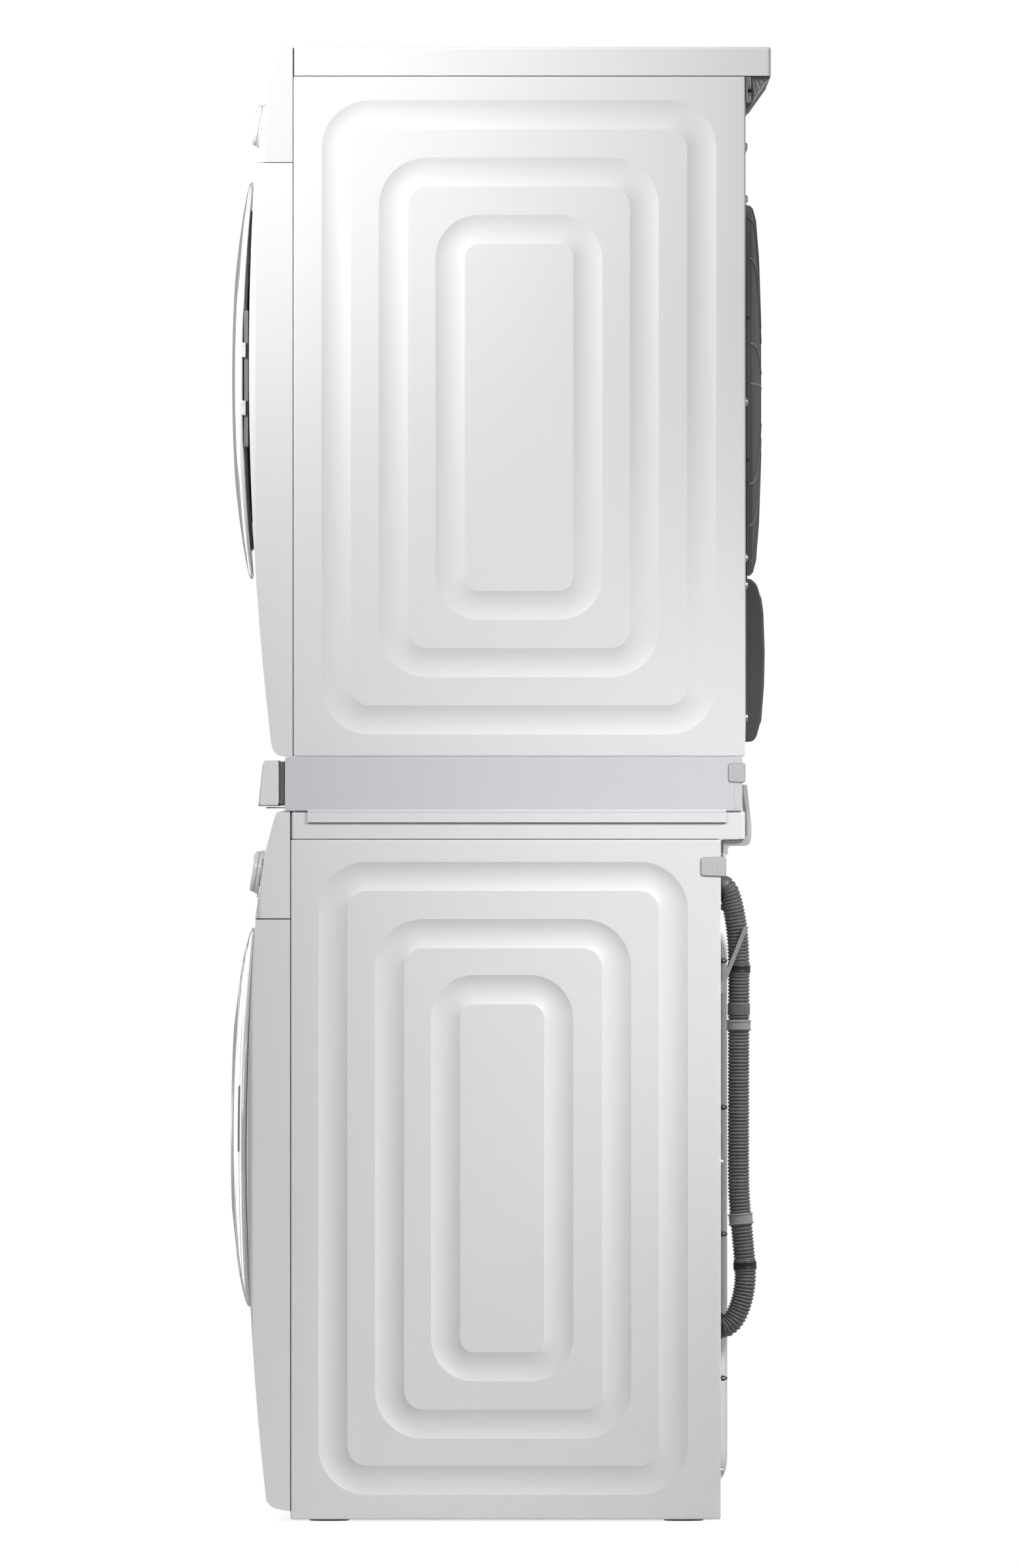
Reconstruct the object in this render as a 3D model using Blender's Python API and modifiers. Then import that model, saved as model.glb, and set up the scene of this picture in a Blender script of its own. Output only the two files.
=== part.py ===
"""Stacked washer and dryer: a front-loading washer below, a stacking kit with a
pull-out shelf between, and a condensing tumble dryer on top.

Metres, +Z up, the machines face -Y and +X is their right-hand side.
Origin: centre of the footprint, on the floor.  Sizes below are in millimetres
and MM turns them into metres.
"""
import math

import bmesh
import bpy
from mathutils import Matrix, Vector

MM = 0.001

# ---------------------------------------------------------------- dimensions
WIDTH = 600.0            # across the stacking kit's clips
HALF = 297.0             # outer face of both machines' side panels
SKIN = 2.0               # panel thickness
GAP = 0.3                # clearance between touching pieces

WASHER_BOTTOM = 2.0
WASHER_TOP = 851.6
WASHER_COVER_BOTTOM = 818.0
WASHER_FRONT_SEAM = -251.2
WASHER_PANEL_REAR = 264.7
WASHER_COVER_REAR = 293.6
WASHER_AXIS_Z = 481.8
WASHER_PANEL_SPLIT = 722.0

DRYER_BOTTOM = 917.1
DRYER_TOP = 1768.0
DRYER_COVER_BOTTOM = 1733.2
DRYER_FRONT_SEAM = -248.1
DRYER_PANEL_REAR = 293.6
DRYER_COVER_REAR = 324.7
DRYER_AXIS_Z = 1370.5
DRYER_PANEL_SPLIT = 1629.0

KIT_FRONT = -258.1
KIT_REAR = 290.5
KIT_BOTTOM = WASHER_TOP + GAP
KIT_TOP = DRYER_BOTTOM - GAP
KIT_LIP_BOTTOM = 838.1

RING_WIDTH = 35.0        # pressed grooves of the side panels
RING_DEPTH = 1.0
DRYER_DOOR_R = 239.5
WASHER_DOOR_R = 229.0
HOLE_R = 168.0           # loading hole in both fronts
TURN_STEPS = 32

WHITE = (0.78, 0.78, 0.79, 1.0)
GREY = (0.42, 0.43, 0.45, 1.0)
DARK = (0.075, 0.077, 0.083, 1.0)
STEEL = (0.62, 0.62, 0.62, 1.0)
BLACK = (0.012, 0.012, 0.014, 1.0)

for old in list(bpy.data.objects):
    bpy.data.objects.remove(old, do_unlink=True)


def collection(name):
    made = bpy.data.collections.new(name)
    bpy.context.scene.collection.children.link(made)
    return made


PARTS = collection("washer_dryer_stack")
CUTTERS = collection("cutters")


def V(x, y, z):
    return Vector((x * MM, y * MM, z * MM))


def material(name, colour, rough, metal):
    mat = bpy.data.materials.new("mat_" + name)
    mat.use_nodes = True
    shader = mat.node_tree.nodes["Principled BSDF"]
    shader.inputs["Base Color"].default_value = colour
    shader.inputs["Roughness"].default_value = rough
    shader.inputs["Metallic"].default_value = metal
    return mat


LOOKS = {
    "white": (WHITE, 0.35, 0.0), "grey": (GREY, 0.5, 0.0), "dark": (DARK, 0.55, 0.0),
    "steel": (STEEL, 0.3, 1.0), "black": (BLACK, 0.1, 0.0), "rubber": (GREY, 0.8, 0.0),
}


def is_cutter(name):
    return name.startswith("cut_")


def place(name, mesh, look="white", origin=None, smooth=False):
    """Puts a mesh given in world coordinates into its collection, with its own
    material and its origin at its middle or on its joint's axis."""
    if origin is None:
        pts = [v.co for v in mesh.vertices]
        origin = Vector([(min(p[i] for p in pts) + max(p[i] for p in pts)) / 2 for i in range(3)])
    mesh.transform(Matrix.Translation(-origin))
    obj = bpy.data.objects.new(name, mesh)
    obj.location = origin
    if is_cutter(name):
        CUTTERS.objects.link(obj)
        obj.hide_render = True
        obj.display_type = "WIRE"
    else:
        PARTS.objects.link(obj)
        mesh.materials.clear()
        mesh.materials.append(material(name, *LOOKS[look]))
    if smooth:
        mesh.shade_smooth()
        mesh.set_sharp_from_angle(angle=math.radians(32))
    return obj


def box(name, lo, hi, look="white", origin=None):
    bm = bmesh.new()
    bmesh.ops.create_cube(bm, size=1.0)
    size = [(b - a) * MM for a, b in zip(lo, hi)]
    mid = [(a + b) / 2 * MM for a, b in zip(lo, hi)]
    bmesh.ops.scale(bm, vec=size, verts=bm.verts)
    bmesh.ops.translate(bm, vec=mid, verts=bm.verts)
    mesh = bpy.data.meshes.new(name)
    bm.to_mesh(mesh)
    bm.free()
    return place(name, mesh, look, origin)


AXIS_TURN = {
    "X": Matrix(((0, 0, 1), (1, 0, 0), (0, 1, 0))).to_4x4(),     # curve x,y -> Y,Z
    "Y": Matrix(((1, 0, 0), (0, 0, -1), (0, 1, 0))).to_4x4(),    # curve x,y -> X,Z
    "Z": Matrix.Identity(4),
}


def baked(obj, turn=None, weld=0.00001):
    """The evaluated object as a plain mesh, turned into place; the source goes."""
    bpy.context.view_layer.update()
    graph = bpy.context.evaluated_depsgraph_get()
    mesh = bpy.data.meshes.new_from_object(obj.evaluated_get(graph))
    mesh.transform(obj.matrix_world)
    if turn is not None:
        mesh.transform(turn)
    bm = bmesh.new()
    bm.from_mesh(mesh)
    bmesh.ops.remove_doubles(bm, verts=bm.verts, dist=weld)
    bm.to_mesh(mesh)
    bm.free()
    data = obj.data
    bpy.data.objects.remove(obj, do_unlink=True)
    if isinstance(data, bpy.types.Curve):
        bpy.data.curves.remove(data)
    return mesh


def prism(name, outlines, axis, low, high, look="white", origin=None, smooth=False):
    """A flat outline (one list of points, or several: the first outside, the
    others holes) pushed out along an axis from low to high.  The outline's
    points are (Y, Z) on axis X, (X, Z) on axis Y, and (X, Y) on axis Z."""
    if not isinstance(outlines[0], list):
        outlines = [outlines]
    curve = bpy.data.curves.new(name, "CURVE")
    curve.dimensions = "2D"
    curve.fill_mode = "BOTH"
    for pts in outlines:
        spline = curve.splines.new("POLY")
        spline.points.add(len(pts) - 1)
        spline.use_cyclic_u = True
        for p, (a, b) in zip(spline.points, pts):
            p.co = (a * MM, b * MM, 0, 1)
    curve.extrude = (high - low) / 2 * MM
    obj = bpy.data.objects.new(name, curve)
    bpy.context.scene.collection.objects.link(obj)
    mid = (low + high) / 2
    # the Y turn sends the curve's +Z to -Y
    shift = {"X": V(mid, 0, 0), "Y": V(0, mid, 0), "Z": V(0, 0, mid)}[axis]
    mesh = baked(obj, Matrix.Translation(shift) @ AXIS_TURN[axis])
    mesh.name = name
    return place(name, mesh, look, origin, smooth)


def turned(name, profile, centre, look="white", origin=None, steps=TURN_STEPS, turn="Y",
           crown=None, closed=True, start=0.0):
    """A turned piece: profile points are (radius, position along the axis),
    running down the outer side (high position first).  The axis is +Y through
    centre (x, z), or +Z through centre (x, y), or any matrix."""
    bm = bmesh.new()
    verts = [bm.verts.new((r * MM * math.cos(start), r * MM * math.sin(start), h * MM)) for r, h in profile]
    for a, b in zip(verts, verts[1:]):
        bm.edges.new((a, b))
    if closed:
        bm.edges.new((verts[-1], verts[0]))
    mesh = bpy.data.meshes.new(name)
    bm.to_mesh(mesh)
    bm.free()
    obj = bpy.data.objects.new(name, mesh)
    bpy.context.scene.collection.objects.link(obj)
    screw = obj.modifiers.new("turn", "SCREW")
    screw.axis = "Z"
    screw.angle = math.tau
    screw.steps = steps
    screw.render_steps = steps
    screw.use_merge_vertices = True
    screw.merge_threshold = 0.00005
    screw.use_smooth_shade = True
    if turn == "Y":      # local Z -> +Y, local X -> +X, local Y -> -Z
        matrix = Matrix.Translation(V(centre[0], 0, centre[1])) @ Matrix(
            ((1, 0, 0), (0, 0, 1), (0, -1, 0))).to_4x4()
    elif turn == "Z":
        matrix = Matrix.Translation(V(centre[0], centre[1], 0))
    else:
        matrix = turn
    made = baked(obj, matrix)
    made.name = name
    if crown is not None:           # follow the door's gentle vertical curve
        z0, bend = crown
        for v in made.vertices:
            v.co.y += bend * (v.co.z / MM - z0) ** 2 * MM
    return place(name, made, look, origin, smooth=not is_cutter(name))


def tube(name, points, radius, look="dark", sides=2, origin=None):
    curve = bpy.data.curves.new(name, "CURVE")
    curve.dimensions = "3D"
    curve.fill_mode = "FULL"
    curve.bevel_depth = radius * MM
    curve.bevel_resolution = sides
    curve.use_fill_caps = True
    spline = curve.splines.new("POLY")
    spline.points.add(len(points) - 1)
    for p, co in zip(spline.points, points):
        p.co = (co[0] * MM, co[1] * MM, co[2] * MM, 1)
    obj = bpy.data.objects.new(name, curve)
    bpy.context.scene.collection.objects.link(obj)
    mesh = baked(obj)
    mesh.name = name
    return place(name, mesh, look, origin, smooth=not is_cutter(name))


def boolean(obj, cutter, operation="DIFFERENCE"):
    mod = obj.modifiers.new(cutter.name[:50], "BOOLEAN")
    mod.operation = operation
    mod.object = cutter
    mod.solver = "EXACT"
    return obj


def bevel(obj, width, segments=2, angle=40.0):
    mod = obj.modifiers.new("round_edges", "BEVEL")
    mod.width = width * MM
    mod.segments = segments
    mod.limit_method = "ANGLE"
    mod.angle_limit = math.radians(angle)
    mod.harden_normals = False
    return obj


def round_rect(x0, z0, x1, z1, r, n=3):
    """Corner points of a rounded rectangle, anticlockwise."""
    pts = []
    for cx, cz, a0 in ((x1 - r, z1 - r, 0), (x0 + r, z1 - r, 90), (x0 + r, z0 + r, 180), (x1 - r, z0 + r, 270)):
        for i in range(n + 1):
            a = math.radians(a0 + 90 * i / n)
            pts.append((cx + r * math.cos(a), cz + r * math.sin(a)))
    return pts


def circle(cx, cz, r, n=32, start=0.0):
    return [(cx + r * math.cos(start + math.tau * i / n), cz + r * math.sin(start + math.tau * i / n)) for i in range(n)]


# ------------------------------------------------------------ side panels
def side_panel(name, side, outline, rings, split_x):
    """A steel side with three nested pressed grooves."""
    a, b = sorted((side * (HALF - SKIN), side * HALF))
    obj = prism(name, outline, "X", a, b)
    for i, (y0, z0, y1, z1) in enumerate(rings):
        outer = round_rect(y0, z0, y1, z1, 50 if i < 2 else 40, n=2)
        inner = round_rect(y0 + RING_WIDTH, z0 + RING_WIDTH, y1 - RING_WIDTH, z1 - RING_WIDTH, 16, n=2)
        c0, c1 = sorted((side * (HALF - RING_DEPTH), side * (HALF + 5)))
        groove = prism(f"cut_{name}_{i}", [outer, inner], "X", c0, c1)
        boolean(obj, groove)
    return obj


DRYER_RINGS = [(-214.1, 943.2, 259.1, 1704.0), (-145.4, 1011.9, 190.4, 1635.2), (-77.4, 1080.7, 122.5, 1566.5)]
WASHER_RINGS = [(-218.0, 31.5, 225.2, 790.7), (-150.1, 98.7, 157.2, 722.0), (-83.0, 167.4, 87.7, 654.9)]
for tag, side in (("right", 1), ("left", -1)):
    side_panel("dryer_side_panel_" + tag, side,
               [(DRYER_FRONT_SEAM, DRYER_BOTTOM), (DRYER_PANEL_REAR, DRYER_BOTTOM),
                (DRYER_PANEL_REAR, DRYER_COVER_BOTTOM - GAP), (DRYER_FRONT_SEAM, DRYER_COVER_BOTTOM - GAP)],
               DRYER_RINGS, side)
    side_panel("washer_side_panel_" + tag, side,
               [(WASHER_FRONT_SEAM + 4, WASHER_BOTTOM), (WASHER_PANEL_REAR - 3, WASHER_BOTTOM),
                (WASHER_PANEL_REAR, WASHER_BOTTOM + 3), (WASHER_PANEL_REAR, WASHER_COVER_BOTTOM - GAP),
                (WASHER_FRONT_SEAM, WASHER_COVER_BOTTOM - GAP), (WASHER_FRONT_SEAM, WASHER_BOTTOM + 3)],
               WASHER_RINGS, side)

# ------------------------------------------------------------ covers, rears, bases
top = box("dryer_top_cover", (-HALF, DRYER_FRONT_SEAM, DRYER_COVER_BOTTOM), (HALF, DRYER_COVER_REAR, DRYER_TOP))
bevel(top, 4, 2)
cover = box("washer_top_cover", (-HALF, WASHER_FRONT_SEAM, WASHER_COVER_BOTTOM), (HALF, WASHER_COVER_REAR, WASHER_TOP))
bevel(cover, 3, 2)
INSIDE = HALF - SKIN - GAP
box("dryer_rear_panel", (-INSIDE, 291.0, 935.0), (INSIDE, DRYER_PANEL_REAR, DRYER_COVER_BOTTOM - GAP), "steel")


def pan(name, lo, hi, floor, wall, holes=()):
    """A pressed floor pan with an upstanding rim."""
    obj = box(name, lo, hi, "steel")
    hollow = box("cut_" + name, (lo[0] + wall, lo[1] + wall, lo[2] + floor), (hi[0] - wall, hi[1] - wall, hi[2] + 5))
    boolean(obj, hollow)
    for i, (x, y, r) in enumerate(holes):
        boolean(obj, prism(f"cut_{name}_hole{i}", circle(x, y, r, 16), "Z", lo[2] - 5, lo[2] + floor + 5))
    return obj


pan("dryer_base", (-INSIDE, -226.0, DRYER_BOTTOM + 2.0), (INSIDE, 290.7, DRYER_BOTTOM + 17.0), 3.0, 3.0)
FEET = [(x, y) for x in (-255.0, 255.0) for y in (-205.0, 220.0)]
pan("washer_base", (-INSIDE, -230.0, 14.0), (INSIDE, 261.7, 34.0), 3.0, 3.0, [(x, y, 5.6) for x, y in FEET])
for (x, y), tag in zip(FEET, ("front_left", "rear_left", "front_right", "rear_right")):
    turned("washer_foot_" + tag, [(0, 30), (5, 30), (5, 9), (20, 9), (24, 6), (24, 0), (0, 0)], (x, y),
           "black", steps=16, turn="Z", closed=False)
rear = box("washer_rear_panel", (-INSIDE, 262.0, 38.0), (INSIDE, 264.4, WASHER_COVER_BOTTOM - GAP), "white")

# raised cover over the drum drive
rc = prism("washer_rear_cover", round_rect(-232, 49.7, 222, 705.4, 40, n=3), "Y", 264.7, 273.0)
bevel(rc, 5, 2, 50)
boolean(rc, prism("cut_rear_cover_1", round_rect(-190, 110, 180, 640, 60, n=3), "Y", 270.0, 280.0))

# ------------------------------------------------------------ curved fronts
def dryer_front_y(z):
    return -301.2 + 1.3e-4 * (z - 1385.0) ** 2


def washer_front_y(z):
    return -303.9 + 1.35e-4 * (z - 440.0) ** 2


def rounded_plan(name, seam, front, z0, z1, r=10.0):
    """Plan outline with rounded front corners, used to round a front's sides."""
    pts = [(HALF, seam + 20), (-HALF, seam + 20)]
    for cx, a0 in ((-HALF + r, 180), (HALF - r, 270)):
        for i in range(4):
            a = math.radians(a0 + 30 * i)
            pts.append((cx + r * math.cos(a), front + r + r * math.sin(a)))
    return prism("cut_" + name + "_plan", pts, "Z", z0 - 5, z1 + 5)


def front_shell(name, seam, outer, inner, zs):
    """A moulded front: the profile pushed across the width, its front corners
    rounded, and hollow behind."""
    obj = prism(name, outer, "X", -HALF, HALF)
    boolean(obj, rounded_plan(name, seam, min(p[0] for p in outer) - 0.2, *zs), "INTERSECT")
    boolean(obj, prism("cut_" + name + "_hollow", inner, "X", -(HALF - 6), HALF - 6))
    return obj


def steps(a, b, n):
    return [a + (b - a) * i / n for i in range(n + 1)]


S = DRYER_FRONT_SEAM - GAP
ZS = steps(931.0, DRYER_PANEL_SPLIT + 0.4, 8)
dryer_front = front_shell(
    "dryer_front_panel", S,
    [(S, DRYER_PANEL_SPLIT + 0.4), (S, DRYER_BOTTOM + 0.4), (-264.0, DRYER_BOTTOM + 0.4), (-270.5, 920.5)]
    + [(dryer_front_y(z), z) for z in ZS],
    [(-235.0, 1625.0), (-235.0, 921.5), (-262.0, 921.5)] + [(dryer_front_y(z) + 3.0, z) for z in steps(936.0, 1625.0, 7)],
    (DRYER_BOTTOM, DRYER_PANEL_SPLIT + 1))
SW = WASHER_FRONT_SEAM - GAP
washer_front = front_shell(
    "washer_front_panel", SW,
    [(SW, WASHER_PANEL_SPLIT - 0.6), (SW, 11.5), (-273.3, 16.5)]
    + [(washer_front_y(z), z) for z in steps(23.3, WASHER_PANEL_SPLIT - 0.6, 8)],
    [(-238.0, 717.0), (-238.0, 17.0), (-268.0, 21.0)] + [(washer_front_y(z) + 3.0, z) for z in steps(28.0, 717.0, 7)],
    (11.0, WASHER_PANEL_SPLIT))
boolean(dryer_front, prism("cut_dryer_hole", circle(0, DRYER_AXIS_Z, HOLE_R + 4.0, 40), "Y", -330, -270))
boolean(washer_front, prism("cut_washer_hole", circle(0, WASHER_AXIS_Z, HOLE_R, 40), "Y", -330, -270))

# hinged flaps low on the fronts, each flush with its curved panel
def flap(name, panel, curve_y, x0, x1, z0, z1):
    boolean(panel, box("cut_" + name, (x0, -330, z0), (x1, -255, z1)))
    zs = steps(z0 + 1.2, z1 - 0.5, 3)
    pivot = V((x0 + x1) / 2, curve_y(z0) + 1.6, z0 + 2.8)
    prism(name, [(curve_y(z), z) for z in zs] + [(curve_y(z) + 3.2, z) for z in reversed(zs)],
          "X", x0 + 0.5, x1 - 0.5, origin=pivot)
    return pivot


DRYER_FLAP = flap("dryer_exchanger_flap", dryer_front, dryer_front_y, -262.0, -42.0, 956.0, 1092.0)
WASHER_FLAP = flap("washer_filter_flap", washer_front, washer_front_y, 138.0, 262.0, 40.0, 150.0)

# ------------------------------------------------------------ control panels
def unit(y, z):
    d = math.hypot(y, z)
    return y / d, z / d


def normal_turn(y, z, n, x=0.0):
    """Local +Z along the panel's outward normal n = (y, z) at the point (x, y, z)."""
    out = Vector((0, n[0], n[1]))
    side = Vector((1, 0, 0))
    up = out.cross(side)
    m = Matrix((side, up, out)).transposed().to_4x4()
    return Matrix.Translation(V(x, y, z)) @ m


def control_panel(name, seam, outer, inner, zs, drawer, face, button_x):
    obj = prism(name, outer, "X", -HALF, HALF)
    boolean(obj, rounded_plan(name, seam, min(p[0] for p in outer) - 0.2, *zs), "INTERSECT")
    boolean(obj, prism("cut_" + name + "_hollow", inner, "X", -(HALF - 6), HALF - 6))
    boolean(obj, box("cut_" + name + "_drawer", (drawer[0], -330, drawer[2]), (drawer[1], -200, drawer[3])))
    (y, z), n = face
    bore = turned("cut_" + name + "_button", [(0, 20), (9.5, 20), (9.5, -20), (0, -20)], None, steps=20,
                  turn=normal_turn(y, z, n, button_x), closed=False)
    boolean(obj, bore)
    return obj


def knob(name, face):
    (y, z), n = face
    return turned(name, [(0, 12.3), (20.5, 12.3), (23.5, 11.2), (25.0, 8.5), (26.3, 4.0), (26.8, 0.3), (0, 0.3)],
                  None, "white", origin=V(0, y, z), steps=28, turn=normal_turn(y, z, n), closed=False)


def button(name, face, x):
    (y, z), n = face
    return turned(name, [(0, 2.2), (7.8, 2.2), (9.0, 1.2), (9.0, -6.0), (0, -6.0)], None, "grey",
                  origin=V(x, y, z), steps=20, turn=normal_turn(y, z, n, x), closed=False)


DRYER_FACE = ((-284.4, 1677.5), unit(-53.0, 9.4))
WASHER_FACE = ((-287.3, 764.5 + 12.6), unit(-52.6, 8.4))
BUTTON_X = 222.0
control_panel(
    "dryer_control_panel", S,
    [(S, DRYER_TOP), (S, 1629.7), (-290.7, 1629.7), (-289.1, 1651.0), (-279.7, 1704.0), (-275.7, 1721.4),
     (-266.2, 1760.9), (-262.0, DRYER_TOP - 0.8), (-258.0, DRYER_TOP)],
    [(-235.0, 1764.0), (-235.0, 1633.5), (-286.5, 1633.5), (-285.3, 1651.0), (-275.9, 1704.0), (-262.8, 1758.0), (-258.0, 1764.0)],
    (1629.0, DRYER_TOP), (-286.0, -96.0, 1640.0, 1742.0), DRYER_FACE, BUTTON_X)
knob("dryer_dial_knob", DRYER_FACE)
button("dryer_start_button", DRYER_FACE, BUTTON_X)
control_panel(
    "washer_control_panel", SW,
    [(SW, WASHER_TOP), (SW, 722.8), (-293.9, 722.8), (-281.2, 802.6), (-278.9, 812.9), (-271.0, 842.1),
     (-267.8, WASHER_TOP - 1.0), (-264.5, WASHER_TOP)],
    [(-238.0, 848.0), (-238.0, 726.5), (-289.6, 726.5), (-277.3, 802.6), (-266.4, 843.0), (-263.0, 848.0)],
    (722.0, WASHER_TOP), (-286.0, -96.0, 737.0, 838.0), WASHER_FACE, BUTTON_X)
knob("washer_dial_knob", WASHER_FACE)
button("washer_start_button", WASHER_FACE, BUTTON_X)


def face_y(outer, z):
    """Y of a front profile (list of (y, z), any order of z) at height z."""
    for (ya, za), (yb, zb) in zip(outer, outer[1:]):
        if min(za, zb) <= z <= max(za, zb) and za != zb:
            return ya + (yb - ya) * (z - za) / (zb - za)
    return outer[0][0]


WASHER_SLOPE = [(-293.9, 722.8), (-281.2, 802.6), (-278.9, 812.9), (-271.0, 842.1)]
DRYER_SLOPE = [(-290.7, 1629.7), (-289.1, 1651.0), (-279.7, 1704.0), (-275.7, 1721.4), (-266.2, 1760.9)]


def drawer_front(name, slope, x0, x1, z0, z1, zmid):
    zs = [z0] + [z for z in zmid if z0 < z < z1] + [z1]
    outer = [(face_y(slope, z), z) for z in zs]
    return prism(name, outer + [(y + 4.0, z) for y, z in reversed(outer)], "X", x0, x1)


# detergent drawer: a sloped front joined to an open tray with two partitions
tray = box("washer_detergent_drawer", (-282, -289.0, 746.0), (-100, -8.0, 811.0), "white")
front = drawer_front("cut_washer_drawer_front", WASHER_SLOPE, -285.5, -96.5, 737.5, 837.5, (802.6, 812.9))
boolean(tray, prism("cut_washer_tray_slope", [(-330.0, 700.0), (-291.5, 700.0), (-291.5, 722.8), (-276.2, 813.0), (-276.2, 830), (-330.0, 830.0)],
                    "X", -290, -90))
boolean(tray, front, "UNION")
for i, (xa, xb, ya, yb) in enumerate(((-279, -193, -270, -11), (-190, -103, -270, -150), (-190, -103, -147, -11))):
    boolean(tray, box(f"cut_washer_tray_{i}", (xa, ya, 749.0), (xb, yb, 825.0)))

# condensate tank: a closed reservoir with a round pouring hole at its rear
tank = box("dryer_water_tank", (-282, -283.0, 1643.0), (-100, 60.0, 1727.0), "white")
boolean(tank, prism("cut_dryer_tank_slope", [(-330.0, 1600.0), (-288.0, 1600.0), (-288.0, 1640.0), (-273.0, 1722.0), (-272.0, 1740), (-330.0, 1740.0)],
                    "X", -290, -90))
front = drawer_front("cut_dryer_tank_front", DRYER_SLOPE, -285.5, -96.5, 1640.5, 1741.5, (1651.0, 1704.0, 1721.4))
boolean(tank, front, "UNION")
boolean(tank, box("cut_dryer_tank_hollow", (-279, -268.0, 1646.0), (-103, 57.0, 1724.0)))
boolean(tank, prism("cut_dryer_tank_pour", circle(-191, 25, 18, 16), "Z", 1715, 1740))

# ------------------------------------------------------------ doors
DOOR_BEND = 2.1e-4          # the dryer door's vertical curve
DRYER_HINGE = V(246.0, -312.0, DRYER_AXIS_Z)
WASHER_HINGE = V(-236.0, -309.0, WASHER_AXIS_Z)
dc = (0, DRYER_AXIS_Z)
wc = (0, WASHER_AXIS_Z)
dry_crown = (DRYER_AXIS_Z, DOOR_BEND)
was_crown = (440.0, 1.35e-4)
turned("dryer_door_frame",
       [(160, -305.5), (200, -305.5), (206, -309.0), (239.5, -309.0), (238.8, -311.5), (232, -314.3), (197, -318.2),
        (196.4, -317.5), (196.4, -312.2), (160, -312.2)],
       dc, "white", DRYER_HINGE, steps=40, crown=dry_crown)
turned("dryer_door_lens",
       [(0, -312.9), (80, -312.9), (120, -312.9), (160, -312.9), (195.9, -312.9), (195.9, -318.3), (137, -320.8), (74, -322.3),
        (0, -322.8)],
       dc, "black", DRYER_HINGE, steps=40, crown=dry_crown, closed=False)
turned("dryer_door_liner",
       [(0, -276.0), (112, -276.0), (138, -283.0), (152, -300.0), (159.5, -303.0), (159.5, -312.0), (150, -312.0),
        (147, -302.0), (134, -286.5), (111, -280.0), (0, -280.0)],
       dc, "grey", DRYER_HINGE, steps=40, crown=dry_crown, closed=False)
# hinge: a plate on the door's edge with two arms reaching back to the front
hinge = prism("dryer_door_hinge", [(226.0, DRYER_AXIS_Z - 82), (236.0, DRYER_AXIS_Z - 82), (236.0, DRYER_AXIS_Z + 82), (226.0, DRYER_AXIS_Z + 82)],
              "Y", -307.3, -305.4, "steel", DRYER_HINGE)
for i, dz in enumerate((34.5, -35.0)):
    boolean(hinge, box(f"cut_hinge_arm{i}", (228.0, -306.8, DRYER_AXIS_Z + dz - 9), (234.5, -302.0, DRYER_AXIS_Z + dz + 9)), "UNION")

turned("washer_door_frame",
       [(158, -304.9), (226, -304.9), (229, -306.5), (228.2, -309.5), (214, -313.2), (192, -316.2), (158, -318.9)],
       wc, "white", WASHER_HINGE, steps=40, crown=was_crown)
turned("washer_door_glass",
       [(0, -262.0), (98, -262.0), (124, -270.0), (143, -296.0), (157.5, -305.5), (157.5, -319.0), (112, -322.4), (60, -324.4),
        (0, -325.2)],
       wc, "black", WASHER_HINGE, steps=40, crown=was_crown, closed=False)

# ------------------------------------------------------------ dryer inside
turned("dryer_loading_ring",
       [(236, -240.3), (236, -243.3), (182, -246.0), (171.4, -256.0), (171.4, -299.0), (166.5, -299.0), (166.5, -254.0),
        (176, -240.3)],
       dc, "grey", steps=40)
ring = bpy.data.objects["dryer_loading_ring"]
boolean(ring, box("cut_lint_slot", (-70, -272.0, 1170.0), (70, -256.5, 1230.0)))
FILTER_X, FILTER_Z = 69.0, 1203.0
lint = box("dryer_lint_filter", (-FILTER_X, -271.0, 1108.0), (FILTER_X, -258.0, 1199.0), "dark")
boolean(lint, box("cut_lint_pocket", (-62, -266.8, 1114.0), (62, -262.2, 1190.0)))
boolean(lint, box("cut_lint_mesh", (-58, -280.0, 1120.0), (58, -264.0, 1184.0)))


def lifters(drum, tag, z, r_in, r_out, y0, y1, count=3):
    for i in range(count):
        a = math.radians(90 + 360 * i / count)
        def at(r, w):
            return (r * math.cos(a) - w * math.sin(a), z + r * math.sin(a) + w * math.cos(a))
        rib = prism(f"cut_{tag}_lifter{i}", [at(r_out, 32), at(r_in + 14, 18), at(r_in, 9), at(r_in, -9), at(r_in + 14, -18), at(r_out, -32)],
                    "Y", y0, y1)
        boolean(drum, rib, "UNION")


DRUM_R = 256.0
drum = turned("dryer_drum",
              [(0, 284), (13, 284), (13, 266), (238, 266), (DRUM_R, 252), (DRUM_R, -222), (240, -231), (206, -235), (206, -233.5),
               (239.4, -229.6), (DRUM_R - 1.5, -221), (DRUM_R - 1.5, 251.3), (237.4, 264.5), (0, 264.5)],
              dc, "steel", V(0, 0, DRYER_AXIS_Z), steps=36, closed=False)
lifters(drum, "dryer", DRYER_AXIS_Z, 212, DRUM_R - 1.2, -205, 240)

MOTOR = (165.0, 1010.0)         # dryer motor's shaft (x, z)
PULLEY_R = 14.0
BELT_Y = (96.0, 108.0)


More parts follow.
